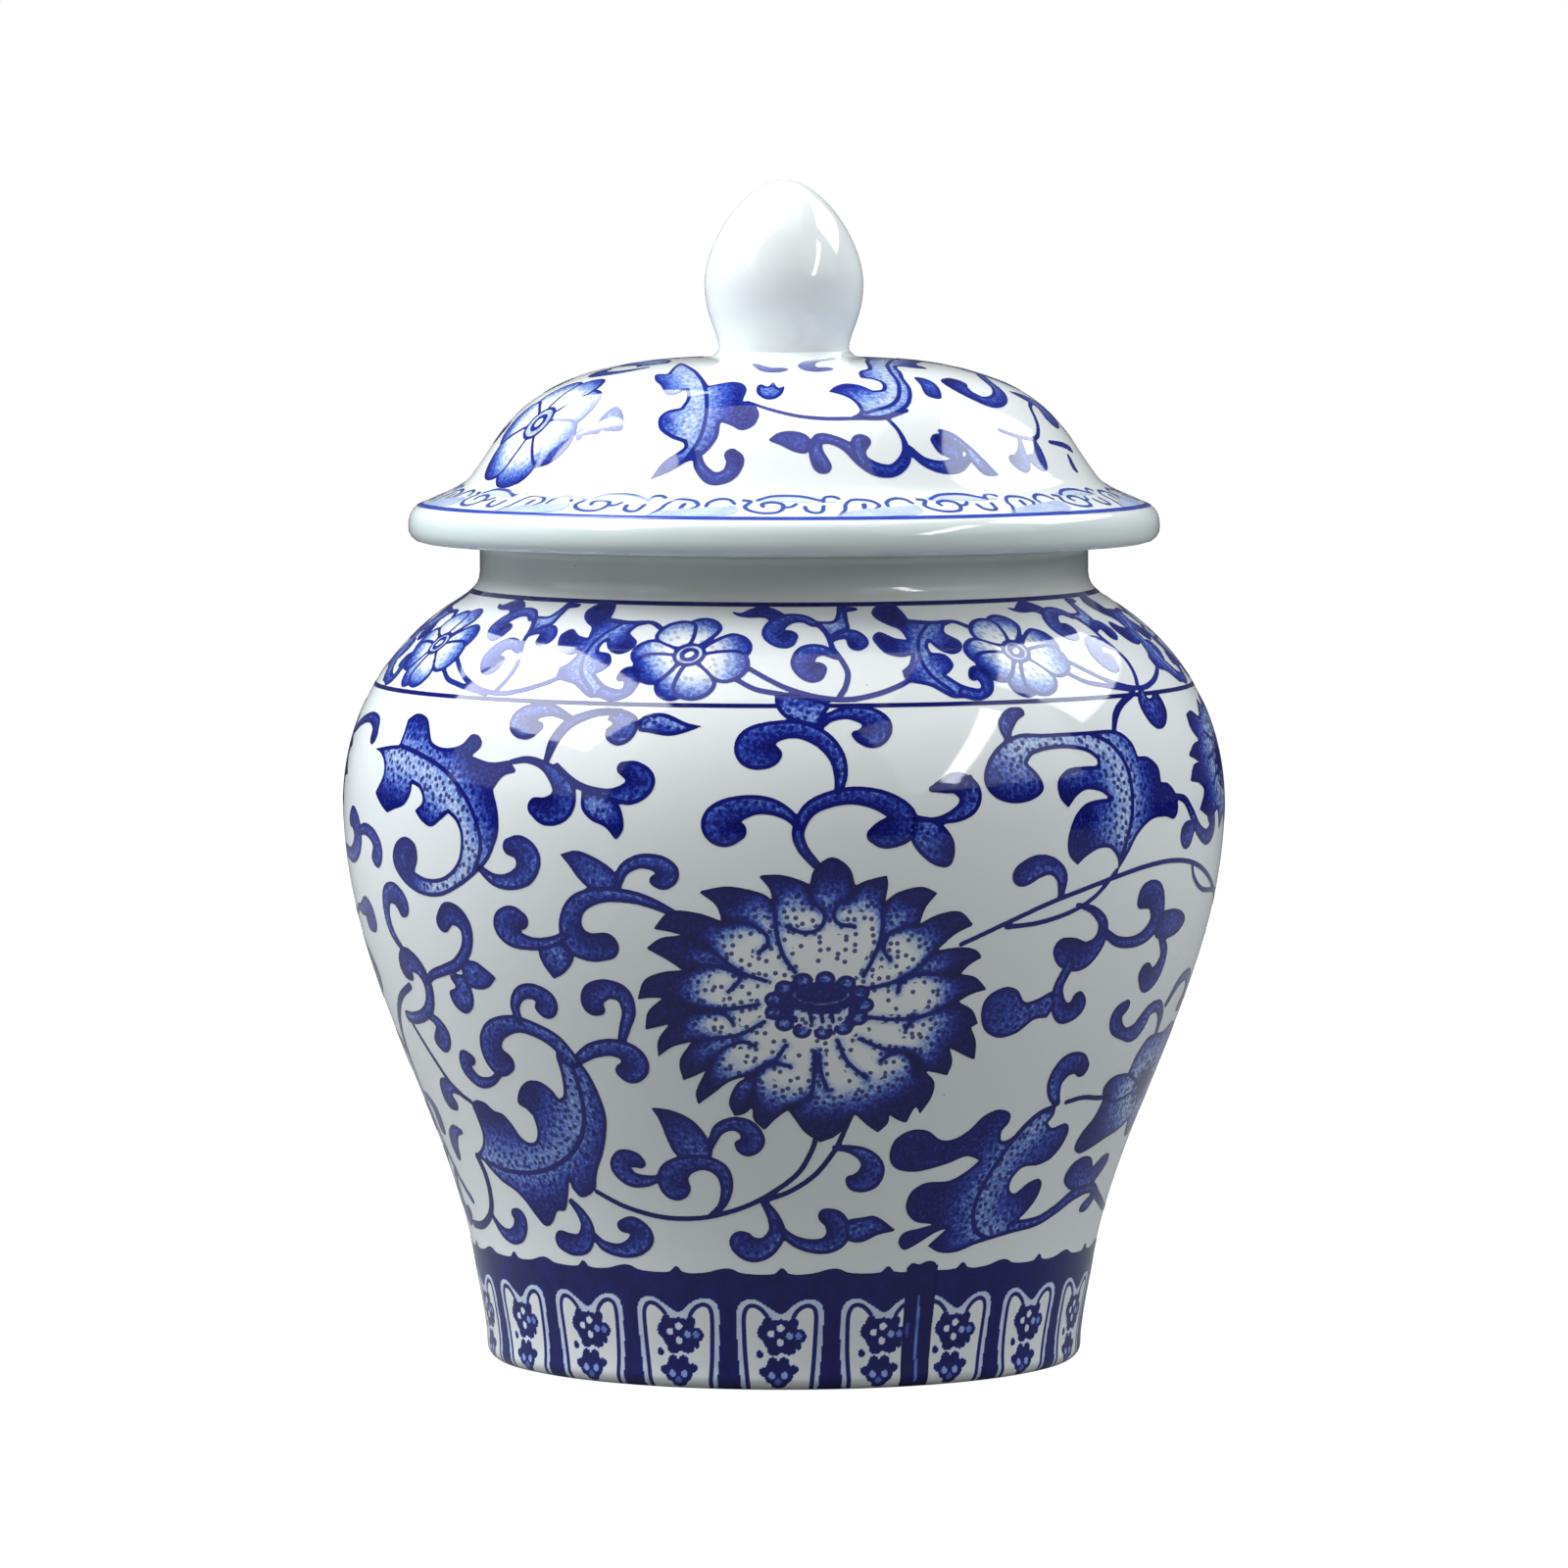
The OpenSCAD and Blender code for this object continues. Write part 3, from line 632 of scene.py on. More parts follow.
        leaf([(54.8, 28.4), (56, 30.5), (59, 31.4), (62, 31), (64, 29.5, 1), (67, 30.9), (69.6, 31),
            (70.5, 29.7), (68.4, 28), (65.4, 26.6), (60, 26.4), (58.6, 26.6), (57, 26.9)],
            rib=[(60, 27), (66, 27)], reach=4, tone=(0.5, 1)),
        leaf([(63.8, 23.2), (65, 24.4), (67.5, 25.2), (70, 25.4, 1), (69, 23.8), (66.5, 22.8)], reach=3,
            tone=(0.6, 1)),
    ]),
    "eastLeaf": (48, [
        leaf([(47.2, 72.4, 1), (49.5, 75.2), (51.5, 77.8), (54.3, 79.5), (57.5, 79.8), (60, 79.3),
            (61.2, 80.6), (60.8, 82.6), (59, 84.1), (57.2, 84.4, 1), (57, 86.5), (55, 87.9), (52.8, 88.1, 1),
            (52.2, 90), (50.6, 91.4), (48.5, 92), (44, 92), (40, 92), (36, 92), (32.4, 92.1), (29.3, 90.9),
            (27, 88.6), (26.2, 86), (27.4, 83.9), (30, 82.9), (33, 83.2), (34.9, 84.5), (34.4, 86.4),
            (32.8, 88.1, 1), (34, 89.2), (36.8, 89.8), (40, 89.8), (43, 89.2), (44.6, 88.1, 1), (44.2, 87.3),
            (41.5, 87.3), (39, 87), (37.3, 85.5), (37.4, 83.4), (38.7, 81.9, 1), (40, 83.3), (42, 84.2),
            (44.5, 83.8), (46, 82.8, 1), (44, 82.8), (41.5, 82.3), (39.6, 80.6), (38.6, 78), (38.8, 75.8),
            (40.3, 74.3, 1), (42, 75.5), (44, 76.3), (46, 76.2), (47.4, 75), (47.8, 73.6)],
            rib=[(31, 90), (36, 90.9), (42, 90.8), (46.6, 89.4), (48.6, 86), (48.9, 82), (48.4, 79)], reach=7,
            tone=(0, 1)),
        vein([(44, 91.8), (47.8, 90), (50.1, 86.6), (50.4, 82), (49.5, 78), (47.6, 73.6)], 0.27),
        hook([(30.4, 91.8, 0.6), (30.6, 93.4, 1.1), (32, 94.8, 1), (33.4, 95.2, 0.7)]),
        hook([(49.2, 92, 0.4), (50.6, 94, 0.55), (53, 95.6, 0.5), (57, 97, 0.45)]),
        hook([(59.4, 97.2, 0.6), (58.6, 95.2, 1.5), (60, 93.7, 2.2), (62, 94.4, 1.9), (62.8, 96, 1)]),
        hook([(60.8, 82.3, 0.4), (63.4, 81.6, 0.6), (65.5, 79.6, 0.8), (68, 77.3, 0.9), (71.4, 76.1, 1.1),
            (74, 77.2, 1.4), (73.6, 78.8, 1.5), (72.4, 79, 0.9)], light=-1),
        hook([(66.8, 78.4, 0.5), (65.2, 77.6, 1.2), (64, 76.9, 1.9), (63.4, 77, 1.4)]),
    ]),
    "eastStems": (52, [
        stem([(23.6, 64.3), (30, 67), (36, 69.3), (42, 71), (48, 72.4), (54, 73.4), (60, 73.7), (66, 73.1),
            (72, 71.5), (80, 68.5), (86, 66.4), (92, 65), (97, 65), (100, 66)], 0.26),
        stem([(90, 65.2), (92.6, 63), (92.6, 60)], 0.26),
        stem([(30, 66.4), (35, 66.8), (40, 68), (44, 69.9), (47.6, 73.2)], 0.26),
        stem([(66.5, 72.8), (68, 70.8), (72, 69), (78, 68.4), (84, 68)], 0.26),
        hook([(38, 70.2, 0.5), (37.9, 72.8, 0.95), (36.3, 74.3, 1.15), (34, 74.4, 1.6), (32, 73.5, 1.7),
            (31.2, 73.2, 1)]),
    ]),
    "eastScroll": (50, [
        hook([(41, 68.9, 0.3), (44, 68, 0.6), (46.3, 66, 0.9), (46, 63.4, 1.3), (43.6, 61.7, 2),
            (41, 62.2, 2.2), (39.6, 62.9, 1.6)], tone=(0.6, 1)),
        hook([(46.6, 65, 0.6), (50, 63.3, 0.75), (54, 63.1, 0.9), (57, 64.3, 1.3), (58.2, 66.4, 1.7),
            (57, 69, 2), (54.8, 69.4, 1.9), (53.8, 68.6, 1.1)], tone=(0.6, 1), light=-1),
        leaf([(58.6, 66.4), (62, 67), (65.6, 66.4), (67.3, 65), (65.5, 63.4), (61.5, 62.8), (58.6, 63.6)],
            reach=4, tone=(0.6, 1)),
        hook([(60.4, 63.4, 0.6), (62.7, 60.8, 1), (62.2, 58.2, 1.5), (60.2, 57.1, 1.8), (58.6, 58.2, 1.6)],
            tone=(0.6, 1)),
        hook([(41.4, 60.6, 0.9), (40.2, 57.6, 0.9), (40.8, 55.1, 1.2), (42.5, 53.6, 1.5), (44.6, 54.4, 1.6),
            (44.4, 55.6, 1.1)], tone=(0.6, 1), light=-1),
        leaf([(28, 54.6), (28.6, 56.8), (31, 58), (33.2, 57.5), (34.7, 55.8), (36.5, 55.9), (39, 57, 1),
            (40.2, 55.4), (39.4, 53.2, 1), (37, 53), (34.6, 51.3), (31.6, 50.7), (29, 52)],
            rib=[(38, 55), (35, 54.4)], reach=8, tone=(0.5, 1)),
    ]),
    "farEastFlower": (70, [
        leaf([(57.6, 41.6), (59, 43), (62, 43.4), (64.4, 43.2, 1), (65, 46), (67, 48.2), (70, 48.6),
            (74, 48.6), (79, 49.6), (84, 48.4), (86, 45), (90, 43.6), (91, 40), (88, 37.6), (84, 36.6, 1),
            (80, 33.4), (76.4, 33), (74, 35.6, 1), (70, 34.4), (65, 33.6), (60, 32.4), (57, 32), (55, 33),
            (55.6, 35), (58, 37.4), (58.8, 39.6, 1)], rib=ellipse((73, 41), (6, 3)), reach=7, tone=(0, 1)),
        vein([(64.4, 43.2), (67.5, 42.2), (70, 41.4)]), vein([(58.8, 39.6), (64, 39.2), (69, 40)]),
        vein([(74, 48.6), (74.6, 45.6), (75, 44)]), vein([(84, 48.4), (80.6, 45), (78.4, 43)]),
        vein([(74, 35.6), (74.6, 37.4), (75, 38.6)]), vein([(84, 36.6), (80.6, 38.4), (78.6, 39.6)]),
        *beads((74.4, 41.2), (4, 2.6), 9, (1.3, 1.1), (0.2, 0.7)),
        leaf(ellipse((74.4, 41.2), (3, 2)), reach=3, tone=(1, 1)),
        hook([(70.2, 48.4, 0.5), (69.4, 51, 0.8), (66.6, 52.9, 0.9), (63.6, 52.4, 1.2), (62.3, 50.6, 1.8),
            (60.8, 49.6, 1.5), (57.8, 49.6, 0.9), (55.2, 50.8, 1.2), (54.4, 52.6, 1.4), (55.8, 53.6, 1.1)],
            tone=(0.5, 0.9)),
        hook([(70, 53, 0.6), (73, 55.9, 0.9), (77, 56.6, 0.9), (80.4, 55, 1.2), (80.8, 52.8, 1.5),
            (79, 52, 1)], tone=(0.5, 0.9)),
    ]),
    "farEastLotus": (84, [
        leaf([(70.2, 93, 1), (73, 93.4), (76, 92.4), (78, 93.4, 1), (80, 94.8, 1), (82, 93.6), (84, 95.4, 1),
            (87, 93.8), (90, 94.4, 1), (91, 92.2), (95, 92, 1), (94, 90), (98, 88, 1), (95.4, 86.6),
            (98.6, 84, 1), (95, 83), (96, 79.4, 1), (92, 80), (90.6, 77, 1), (87.4, 78.8), (84.6, 76.4, 1),
            (82, 78.6), (78.6, 76.6, 1), (77, 79.4), (73, 78.6), (68.2, 80, 1), (70.4, 82.4), (68.6, 83.6, 1),
            (65.6, 84, 1), (67.4, 86), (70, 86.4, 1), (66.4, 87.4, 1), (69, 88.8), (72, 89.2, 1), (70, 91)],
            rib=ellipse((83, 85.8), (6, 4.4)), reach=7, tone=(0, 1)),
        *[vein([(83 + 5 * np.cos(t), 85.8 + 3.6 * np.sin(t)),
            (83 + 9 * np.cos(t + 0.2), 85.8 + 6 * np.sin(t + 0.2))])
            for t in np.linspace(0.3, 6.6, 10, endpoint=False)],
        *beads((83, 85.8), (4.4, 3), 11, (1.2, 1.1), (0.1, 0.6)),
        leaf(ellipse((83, 86), (3.2, 1.8)), reach=3, tone=(1, 1)),
    ]),
}

shoulderStretch = 1.22
shoulderFlower = (-14.2, 104.8)
shoulderSpray = [
    *[petal(shoulderFlower, heading, length, width, shoulderStretch, (-1, 0.8))
        for heading, length, width in [(80, 7.4, 2.6), (15, 7.9, 2.7), (-103, 7.7, 2.2), (178, 7.6, 2.5),
        (-151, 7.3, 2.8), (121, 7.2, 2.9), (-20, 7.9, 2.9), (-76, 7.6, 2.6)]],
    leaf(ellipse(shoulderFlower, (2.6, 2.1)), reach=3, tone=(-0.1, -0.1)),
    leaf(ellipse(shoulderFlower, (1.5, 1.25)), reach=3, tone=(-0.6, -0.6), line=0.34),
    leaf([(-9.2, 113.6, 1), (-8, 112.6), (-6, 112.2), (-3.4, 112.2), (-2, 111.2), (-0.4, 111.4), (0.4, 112.4),
        (-0.6, 113.6), (-2.2, 114.4), (-4, 114.8), (-6, 114.1), (-7.4, 113.3)],
        rib=[(-2.5, 113), (-1, 112.4)], reach=5, tone=(0.8, 1)),
    stem([(4.6, 111.4), (6.2, 109.8), (7, 108), (7.4, 106), (8.4, 104), (9.1, 101.8), (8.6, 99.6), (7.6, 98)],
        0.3),
    hook([(4.8, 111, 0.8), (3.2, 112, 0.9), (0.8, 112, 1.1), (-1.2, 110.6, 1.3), (-1.6, 108.6, 1.6),
        (-0.2, 107.6, 1.6), (0.8, 108.4, 1.2)], light=-1),
    hook([(7.6, 104.6, 0.6), (5.6, 105.7, 1), (3.5, 105.2, 1.4), (2.7, 103.2, 1.6), (3.9, 101.9, 1.7),
        (5, 102.5, 1.1)], light=-1),
    leaf([(4.9, 111.6, 1), (6.4, 111.4), (8.2, 111.6), (9, 113.2), (9.4, 114.6), (10.6, 114.6), (12.6, 114.4),
        (12.8, 113.8), (10.9, 113.4, 1), (10.7, 111.4), (10.6, 109.8), (8.9, 109), (7.2, 107.7, 1),
        (6.2, 109.6)], rib=[(6.2, 110.6), (8, 110.6)], reach=4, tone=(0.1, 0.8)),
    hook([(7.4, 107.6, 0.4), (9, 108.4, 0.7), (10.7, 108.6, 1.1), (11.4, 107.4, 1.5), (11.2, 106.8, 1.3)]),
    stem([(-5.2, 102.6), (-2, 100.6), (1, 99.1), (5, 97.9), (9, 97.6), (13, 98.4), (16, 99.5), (17.8, 100.4)],
        0.3),
    stem([(-6.6, 100.6), (-4, 99.2), (-1.3, 98.6), (2, 98), (6, 97.4)], 0.3),
    leaf([(17.6, 100.3), (17.1, 102, 1), (18.4, 103), (19.2, 104.6, 1), (17.5, 104.3), (15.3, 105),
        (14.2, 106.6), (13.9, 108), (15.2, 109.1), (16.6, 108.4), (17.6, 107.8), (19.4, 107.4, 1),
        (18.8, 109.4), (17.2, 110.4), (15.6, 111.8), (15.2, 113.4), (17, 114.9), (19.8, 114.9), (20.8, 113.4),
        (21.2, 111.4, 1), (24, 110.9), (26.4, 111), (29, 110.8), (27, 110, 1), (26.4, 108.6), (28.2, 107),
        (27.8, 105.4), (26, 104.6), (24, 105.4), (22.9, 107, 1), (22.4, 106), (22.6, 105, 1), (24.6, 104.6),
        (25.4, 103), (24.6, 101.8), (23.6, 101.2, 1), (25.6, 99.6), (27.8, 98.9), (29.8, 99, 1), (28.4, 97.2),
        (26.2, 97.6), (23.6, 97.6), (20.8, 99.4)],
        rib=[(24.4, 110), (21.8, 107), (20.9, 104), (21.8, 101.2), (24, 99)], reach=3.6, tone=(0.25, 1)),
    stem([(20.9, 111.3), (25, 110.8), (29, 110.9), (31.4, 109.6)], 0.28),
    vein([(24, 110.4), (21.4, 107.6), (20.5, 104.2), (21.3, 101.2), (24, 98.4)]),
    hook([(25.6, 98.4, 0.9), (27.6, 97.9, 0.85), (29.3, 98.7, 0.95), (29.6, 100.4, 1.1), (28.6, 101.5, 1.1),
        (27.9, 100.9, 0.8)]),
]

# a panel of the foot band, about its own middle
footPanel = [
    patch([(-10, -1, 1), (10, -1, 1), (10, 17.8, 1), (8.4, 17.7), (6, 17.2), (3, 17), (1.4, 17.2),
        (0.8, 17.7), (0.2, 17.9), (-0.4, 17.6), (-1.2, 17.1), (-4, 17), (-7, 17.2), (-8.6, 17.7),
        (-10, 17.8, 1)], 1.1),
    patch([(-7.3, -1, 1), (-7.8, 5), (-8, 9), (-7.9, 11.8), (-7.2, 13), (-5.8, 13.5), (-4.2, 13.3),
        (-2.6, 12.6), (-1.2, 11.9), (0, 11.5), (1.3, 11.9), (2.6, 12.8), (4.2, 13.4), (5.6, 13.5), (7, 13.1),
        (7.7, 12), (7.7, 9), (7.4, 5), (6.8, -1, 1)], -0.15),
    leaf([(-6.5, -1, 1), (-7, 5), (-7.2, 9), (-7.1, 11.4), (-6.4, 12.6), (-5.2, 13), (-3.8, 12.7),
        (-2.5, 11.8), (-1.9, 10.9), (-2.4, 10, 1), (2.4, 10, 1), (1.9, 11), (2.7, 12.1), (3.9, 12.8),
        (5.2, 13), (6.4, 12.5), (6.9, 11.2), (6.8, 8), (6.5, 4), (6.1, -1, 1)], reach=9, tone=(-0.5, -0.5),
        line=0.3),
    *[patch(ellipse(spot, size, 8), 1.1) for spot, size in [((0, 8.5), (3.4, 2.2)), ((-3.2, 9), (1, 1)),
        ((3.4, 8.5), (1.2, 0.9)), ((-2.4, 10.3), (0.8, 0.8)), ((2.4, 10.3), (0.8, 0.6)),
        ((-1.2, 6.6), (1.2, 0.7)), ((1.5, 6.7), (1.3, 0.7)), ((3.2, 7.2), (0.6, 0.5)),
        ((-0.4, 3.4), (2.7, 1.7)), ((-3.1, 3.6), (0.9, 0.5)), ((2.3, 3.9), (0.9, 0.5)),
        ((-1.5, 4.9), (0.8, 0.6)), ((0.6, 4.9), (0.9, 0.6)), ((-0.4, 1.8), (1.3, 0.7)),
        ((-3.9, 6), (0.5, 0.4))]],
    *[patch(ellipse(spot, (0.56, 0.42), 8), tone) for spot, tone in [((0, 9.6), -0.45), ((-1.8, 8.8), -0.45),
        ((-0.1, 7.6), -0.4), ((1.6, 8.5), 0.1), ((3.3, 8.5), 0.3), ((-1.7, 3.1), 0.1), ((0.7, 3.1), 0.1),
        ((-0.5, 2.2), 0.4)]],
]

# where the two ends of the foot band's transfer overlap
footSeam = [
    patch([(-3, -1, 1), (3, -1, 1), (2.9, 17.6, 1), (2.4, 18.2), (1, 18.4), (-0.6, 18), (-2, 18.2),
        (-3, 17.6, 1)], 1.15),
    patch([(0, 2.2), (0.35, 2.4), (0.2, 8), (0, 13), (-0.3, 13.2), (-0.3, 8)], 0.35),
    patch(ellipse((-2, 9), (0.3, 0.9)), 0.5),
]

lidFlower = (-63, 24.4)
lidSprays = {
    "flower": (-62, [
        *[petal(lidFlower, heading, 11, 4.1, 1.54, (-1.5, 1.1))
            for heading in (27, 130, -76, -179, 78, -127, -24)],
        leaf(ellipse(lidFlower, (4.6, 3)), reach=4, tone=(-0.2, 0.2)),
        leaf(ellipse(lidFlower, (2.4, 1.6)), reach=4, tone=(-0.6, -0.6), line=0.4),
    ]),
    "leaf": (-24, [
        leaf([(-50, 45.2, 1), (-44, 44.2), (-39, 42.9), (-31, 40.3), (-25, 37.2), (-20, 33.7, 1), (-17, 34.6),
            (-14, 35.2), (-11.2, 34.6), (-9.4, 32.6), (-9.6, 29.6, 1), (-7.4, 29.4), (-5.4, 27), (-6.2, 24.8),
            (-8.6, 23.9), (-11, 24.7), (-13.4, 25.4, 1), (-13.4, 22.6), (-15.2, 20.2), (-17.6, 19, 1),
            (-19, 18.6), (-21.5, 17.2), (-25, 15.9, 1), (-23.4, 18.6), (-20, 20.8), (-20.2, 21.8, 1),
            (-23.4, 22.6), (-26.4, 24), (-27.6, 26), (-26.4, 27.4), (-23.6, 28, 1), (-23.4, 30),
            (-25.4, 32.4, 1), (-27.4, 31), (-30, 31.2), (-34, 33.6), (-38, 35.2), (-42, 37.6), (-38, 38, 1),
            (-42, 41)], rib=[(-40, 41), (-32, 38.6), (-26, 35.4), (-21.4, 31), (-19.6, 26.4), (-19.6, 22.6)],
            reach=5.5, tone=(0, 0.9)),
        vein([(-38, 43.2), (-30, 40), (-24, 36.2), (-19.2, 31.4), (-17, 26.6), (-17, 22.4), (-19.2, 18.6)]),
        hook([(-17, 20, 0.6), (-15.6, 17.8, 0.8), (-13, 16.2, 1), (-10.2, 16.8, 1.15), (-9.2, 18.8, 1.2),
            (-10.2, 20, 0.9)]),
    ]),
    "crownLeaf": (-70, [
        leaf([(-94, 43, 1), (-88, 45.6), (-80, 47), (-72, 47.2), (-64, 46.4), (-56, 44.6, 1), (-60, 43.2),
            (-63, 41, 1), (-69, 42), (-76, 41), (-82, 39, 1), (-83, 41.4), (-88, 41.2)],
            rib=[(-88, 43.6), (-78, 44.8), (-66, 44.4)], reach=4.5, tone=(0.1, 0.9)),
        hook([(-56, 41, 0.5), (-60, 39, 0.9), (-66, 37.4, 1.1), (-73, 36.8, 1.3), (-77, 38, 1.4)], light=-1),
        hook([(-96, 41, 0.5), (-98, 37, 0.9), (-95, 33, 1.2), (-89, 31.4, 1.4), (-86, 33.4, 1.2)]),
        hook([(-90, 31, 0.5), (-92, 27, 0.8), (-90, 23, 1.1), (-86, 21.4, 1.3), (-83.6, 23, 1.1)], light=-1),
    ]),
    "bud": (-40, [
        leaf([(-42.4, 24), (-42.6, 26), (-41.4, 28), (-38.6, 27.4), (-36, 25.4), (-35, 23.6, 1),
            (-38.4, 23.4)], reach=4, tone=(0.3, 0.9)),
        hook([(-41, 23.2, 0.3), (-43.4, 23.2, 0.5), (-46, 23, 0.6), (-45.4, 22.2, 0.5)]),
    ]),
    "tulip": (-4, [
        leaf([(-7, 33.6), (-6.6, 31.6), (-4.6, 30.2), (-2.2, 30.2), (-0.4, 31.6), (0.2, 34, 1), (-1.4, 33.2),
            (-3, 35.4, 1), (-4.2, 33.6), (-6, 34.4)], reach=4, tone=(0.3, 0.95)),
    ]),
    "topHook": (6, [
        hook([(36, 52.4, 0.7), (27, 51.4, 0.8), (18, 49.6, 0.9), (11.4, 46.6, 1), (8.8, 43.4, 1.2),
            (10.4, 41.2, 1.4), (14.4, 41.4, 1.2)], light=-1),
        hook([(-12, 45, 0.5), (-9, 43, 0.8), (-4.6, 40.8, 1.4), (-1.6, 41.2, 1.2)]),
    ]),
    "vine": (14, [
        stem([(-8.4, 29.4), (-3, 27.8), (3, 26.5), (9, 26), (16, 26), (22, 26), (28, 27.4)], 0.24),
        leaf([(-3.2, 22.2, 1), (-1.4, 23.4), (1.4, 23.8), (4.4, 23.2), (5.4, 21.8), (4.4, 20.2), (2, 20.4),
            (-0.6, 21.4)], rib=[(1, 22), (3, 22)], reach=3.5, tone=(0.6, 1)),
        hook([(6, 21.4, 0.7), (7.3, 22.5, 0.9), (10, 22.2, 0.8), (12.6, 21, 0.9), (14.8, 19, 1),
            (17.4, 17.6, 1.1), (20.6, 17.4, 1), (23.4, 19, 0.9), (24.4, 21.2, 0.5), (24, 23.6, 0.3),
            (22.4, 26, 0.3)]),
        hook([(6.6, 22, 0.6), (6.2, 20.4, 1), (7, 18.4, 1.3), (7.4, 18.1, 1)]),
        hook([(15, 18.6, 0.8), (14.6, 20.6, 1), (15.2, 21.8, 1.3), (15.8, 22, 1.1)]),
        hook([(25, 20.8, 0.5), (27.2, 18.8, 0.7), (30.6, 17.8, 1), (34.4, 18, 1.2), (37.4, 18.8, 0.6)]),
        hook([(35, 18.8, 0.7), (35.2, 20.2, 1.1), (33.4, 21, 1.6), (32, 22, 1.1)], tone=(0.5, 1)),
        leaf([(33, 23.8), (36.4, 23.2), (39.6, 20.6), (43.4, 16.2, 1), (39.8, 16.4), (38, 18.4), (37, 20.6),
            (34.4, 22)], reach=4, tone=(0.1, 0.7)),
    ]),
    "bigLeaf": (40, [
        leaf([(14, 26.1, 1), (16.8, 27.4), (16, 29.8), (13.8, 31.2), (11, 32, 1), (13.4, 33.6), (16.6, 34.5),
            (20, 34), (22.6, 32.2, 1), (25.4, 32.6), (27, 34.6), (25.6, 36), (22.6, 36.6, 1), (24, 38.8),
            (26.6, 40.2), (30, 41), (34, 43.4), (40, 46.4), (48, 48.6), (60, 50.6), (76, 52.2), (90, 52.8, 1),
            (84, 49.8), (96, 49, 1), (84, 47.6), (74, 47.4, 1), (84, 46.2), (90, 44.2, 1), (76, 44.4),
            (62, 43.2), (57, 40.4), (52, 41, 1), (48, 42.4), (43.6, 41.4), (40, 38.8), (36, 35.8),
            (33.6, 32.2), (29, 28.2), (22, 26)],
            rib=[(20, 28), (27, 30.4), (31, 36), (38, 42), (50, 46), (66, 48), (80, 48.8)], reach=5,
            tone=(-0.05, 0.9)),
        vein([(18, 27), (26, 29), (31.4, 33.6), (36, 39), (44, 43.4), (58, 46.4), (74, 48.2)]),
        leaf([(36.4, 30.8), (38.4, 33.8), (40.6, 36.4), (43.6, 36), (44, 34), (41.8, 31.4), (39.4, 29.8)],
            reach=4, tone=(0.5, 1)),
    ]),
    "eastHook": (62, [
        hook([(80, 36.4, 0.7), (72, 34.4, 0.9), (66, 31.2, 1.1), (60, 29.2, 1.2), (54, 28.8, 1.3),
            (50.6, 31, 1.5), (50.8, 33.4, 1.8), (53.6, 34.4, 1.5)], light=-1),
        stem([(50, 23.4), (55, 22.2), (61, 21.8), (66, 23.8), (72, 27.2), (80, 28.2)], 0.26),
        hook([(60, 21.8, 0.3), (59, 19.8, 0.9), (57.2, 18, 1.4), (55.4, 18.4, 1)]),
        hook([(55, 22, 0.3), (53.2, 19.8, 0.8), (51.2, 18, 1.5), (49.4, 18.4, 1)]),
        hook([(66, 21, 0.3), (72, 20.4, 0.5), (76, 19.6, 0.6)]),
        hook([(71.4, 18.4, 0.5), (70.4, 17, 0.7), (70.6, 16.4, 0.5)]),
        leaf([(72, 31, 1), (78, 30), (84, 28), (88, 25.6, 1), (83, 23.6), (77, 23), (74.6, 24.8), (77, 27),
            (74, 29)], reach=5, tone=(0.3, 0.9)),
    ]),
}

# one repeat of the scrolls round the lid's flange
flangeScroll = [
    patch([(-22, 7.6), (-18, 9.4), (-12, 10.2), (-8, 10.6), (-7.4, 9), (-9, 7.8), (-15, 7.4)], -0.05),
    patch([(-6, 12.4), (-2, 13.1), (3, 13), (7, 12.4), (9, 11.8), (5, 11.6), (1, 11.8), (-3, 11.8)], -0.15),
    stem([(-12.8, 10.4), (-12.6, 11.6), (-11, 12.5), (-9.2, 12.3), (-8.2, 11.2)], 0.22),
    stem([(-6.8, 12.2), (-5.6, 11.8), (-6.4, 10.4), (-5.4, 9.2), (-3.4, 8.5), (-1.2, 8.7), (-0.2, 9.8),
        (-0.3, 11.1), (-2, 11.7), (-3.6, 11.2), (-3.4, 10.4)], 0.24),
    stem([(-4.4, 12.2), (-2.4, 13.1), (0.6, 13.3), (3.6, 13), (6.2, 12.1)], 0.22),
    stem([(-0.2, 10.2), (1.2, 10.4), (2, 11.2)], 0.22),
    stem([(3.4, 10.4), (3.7, 9.2), (4.8, 8.6), (6, 8.9), (6.5, 10.6)], 0.24),
    stem([(6.6, 11.8), (7, 12.9), (8.4, 13.1), (9.4, 12.6)], 0.2),
    stem([(8.8, 8), (9.8, 9.4), (10.2, 11), (11.4, 12.2), (13.2, 12.3), (15, 11.8), (15.8, 10.6), (15, 9.8)],
        0.22),
    stem([(13.1, 10), (13.3, 11)], 0.28),
]


# Shader maths. A Wire is a node's output, and sums on it add Math nodes.
class Wire:
    def __init__(self, nodes, socket):
        self.nodes, self.socket = nodes, socket

    def maths(self, operation, a, b):
        return self.nodes.add("Math", {"operation": operation}, {0: a, 1: b})

    def __add__(self, other):
        return self.maths("ADD", self, other)

    def __sub__(self, other):
        return self.maths("SUBTRACT", self, other)

    def __rsub__(self, other):
        return self.maths("SUBTRACT", other, self)

    def __mul__(self, other):
        return self.maths("MULTIPLY", self, other)

    def __lt__(self, other):
        return self.maths("LESS_THAN", self, other)

    __radd__, __rmul__ = __add__, __mul__


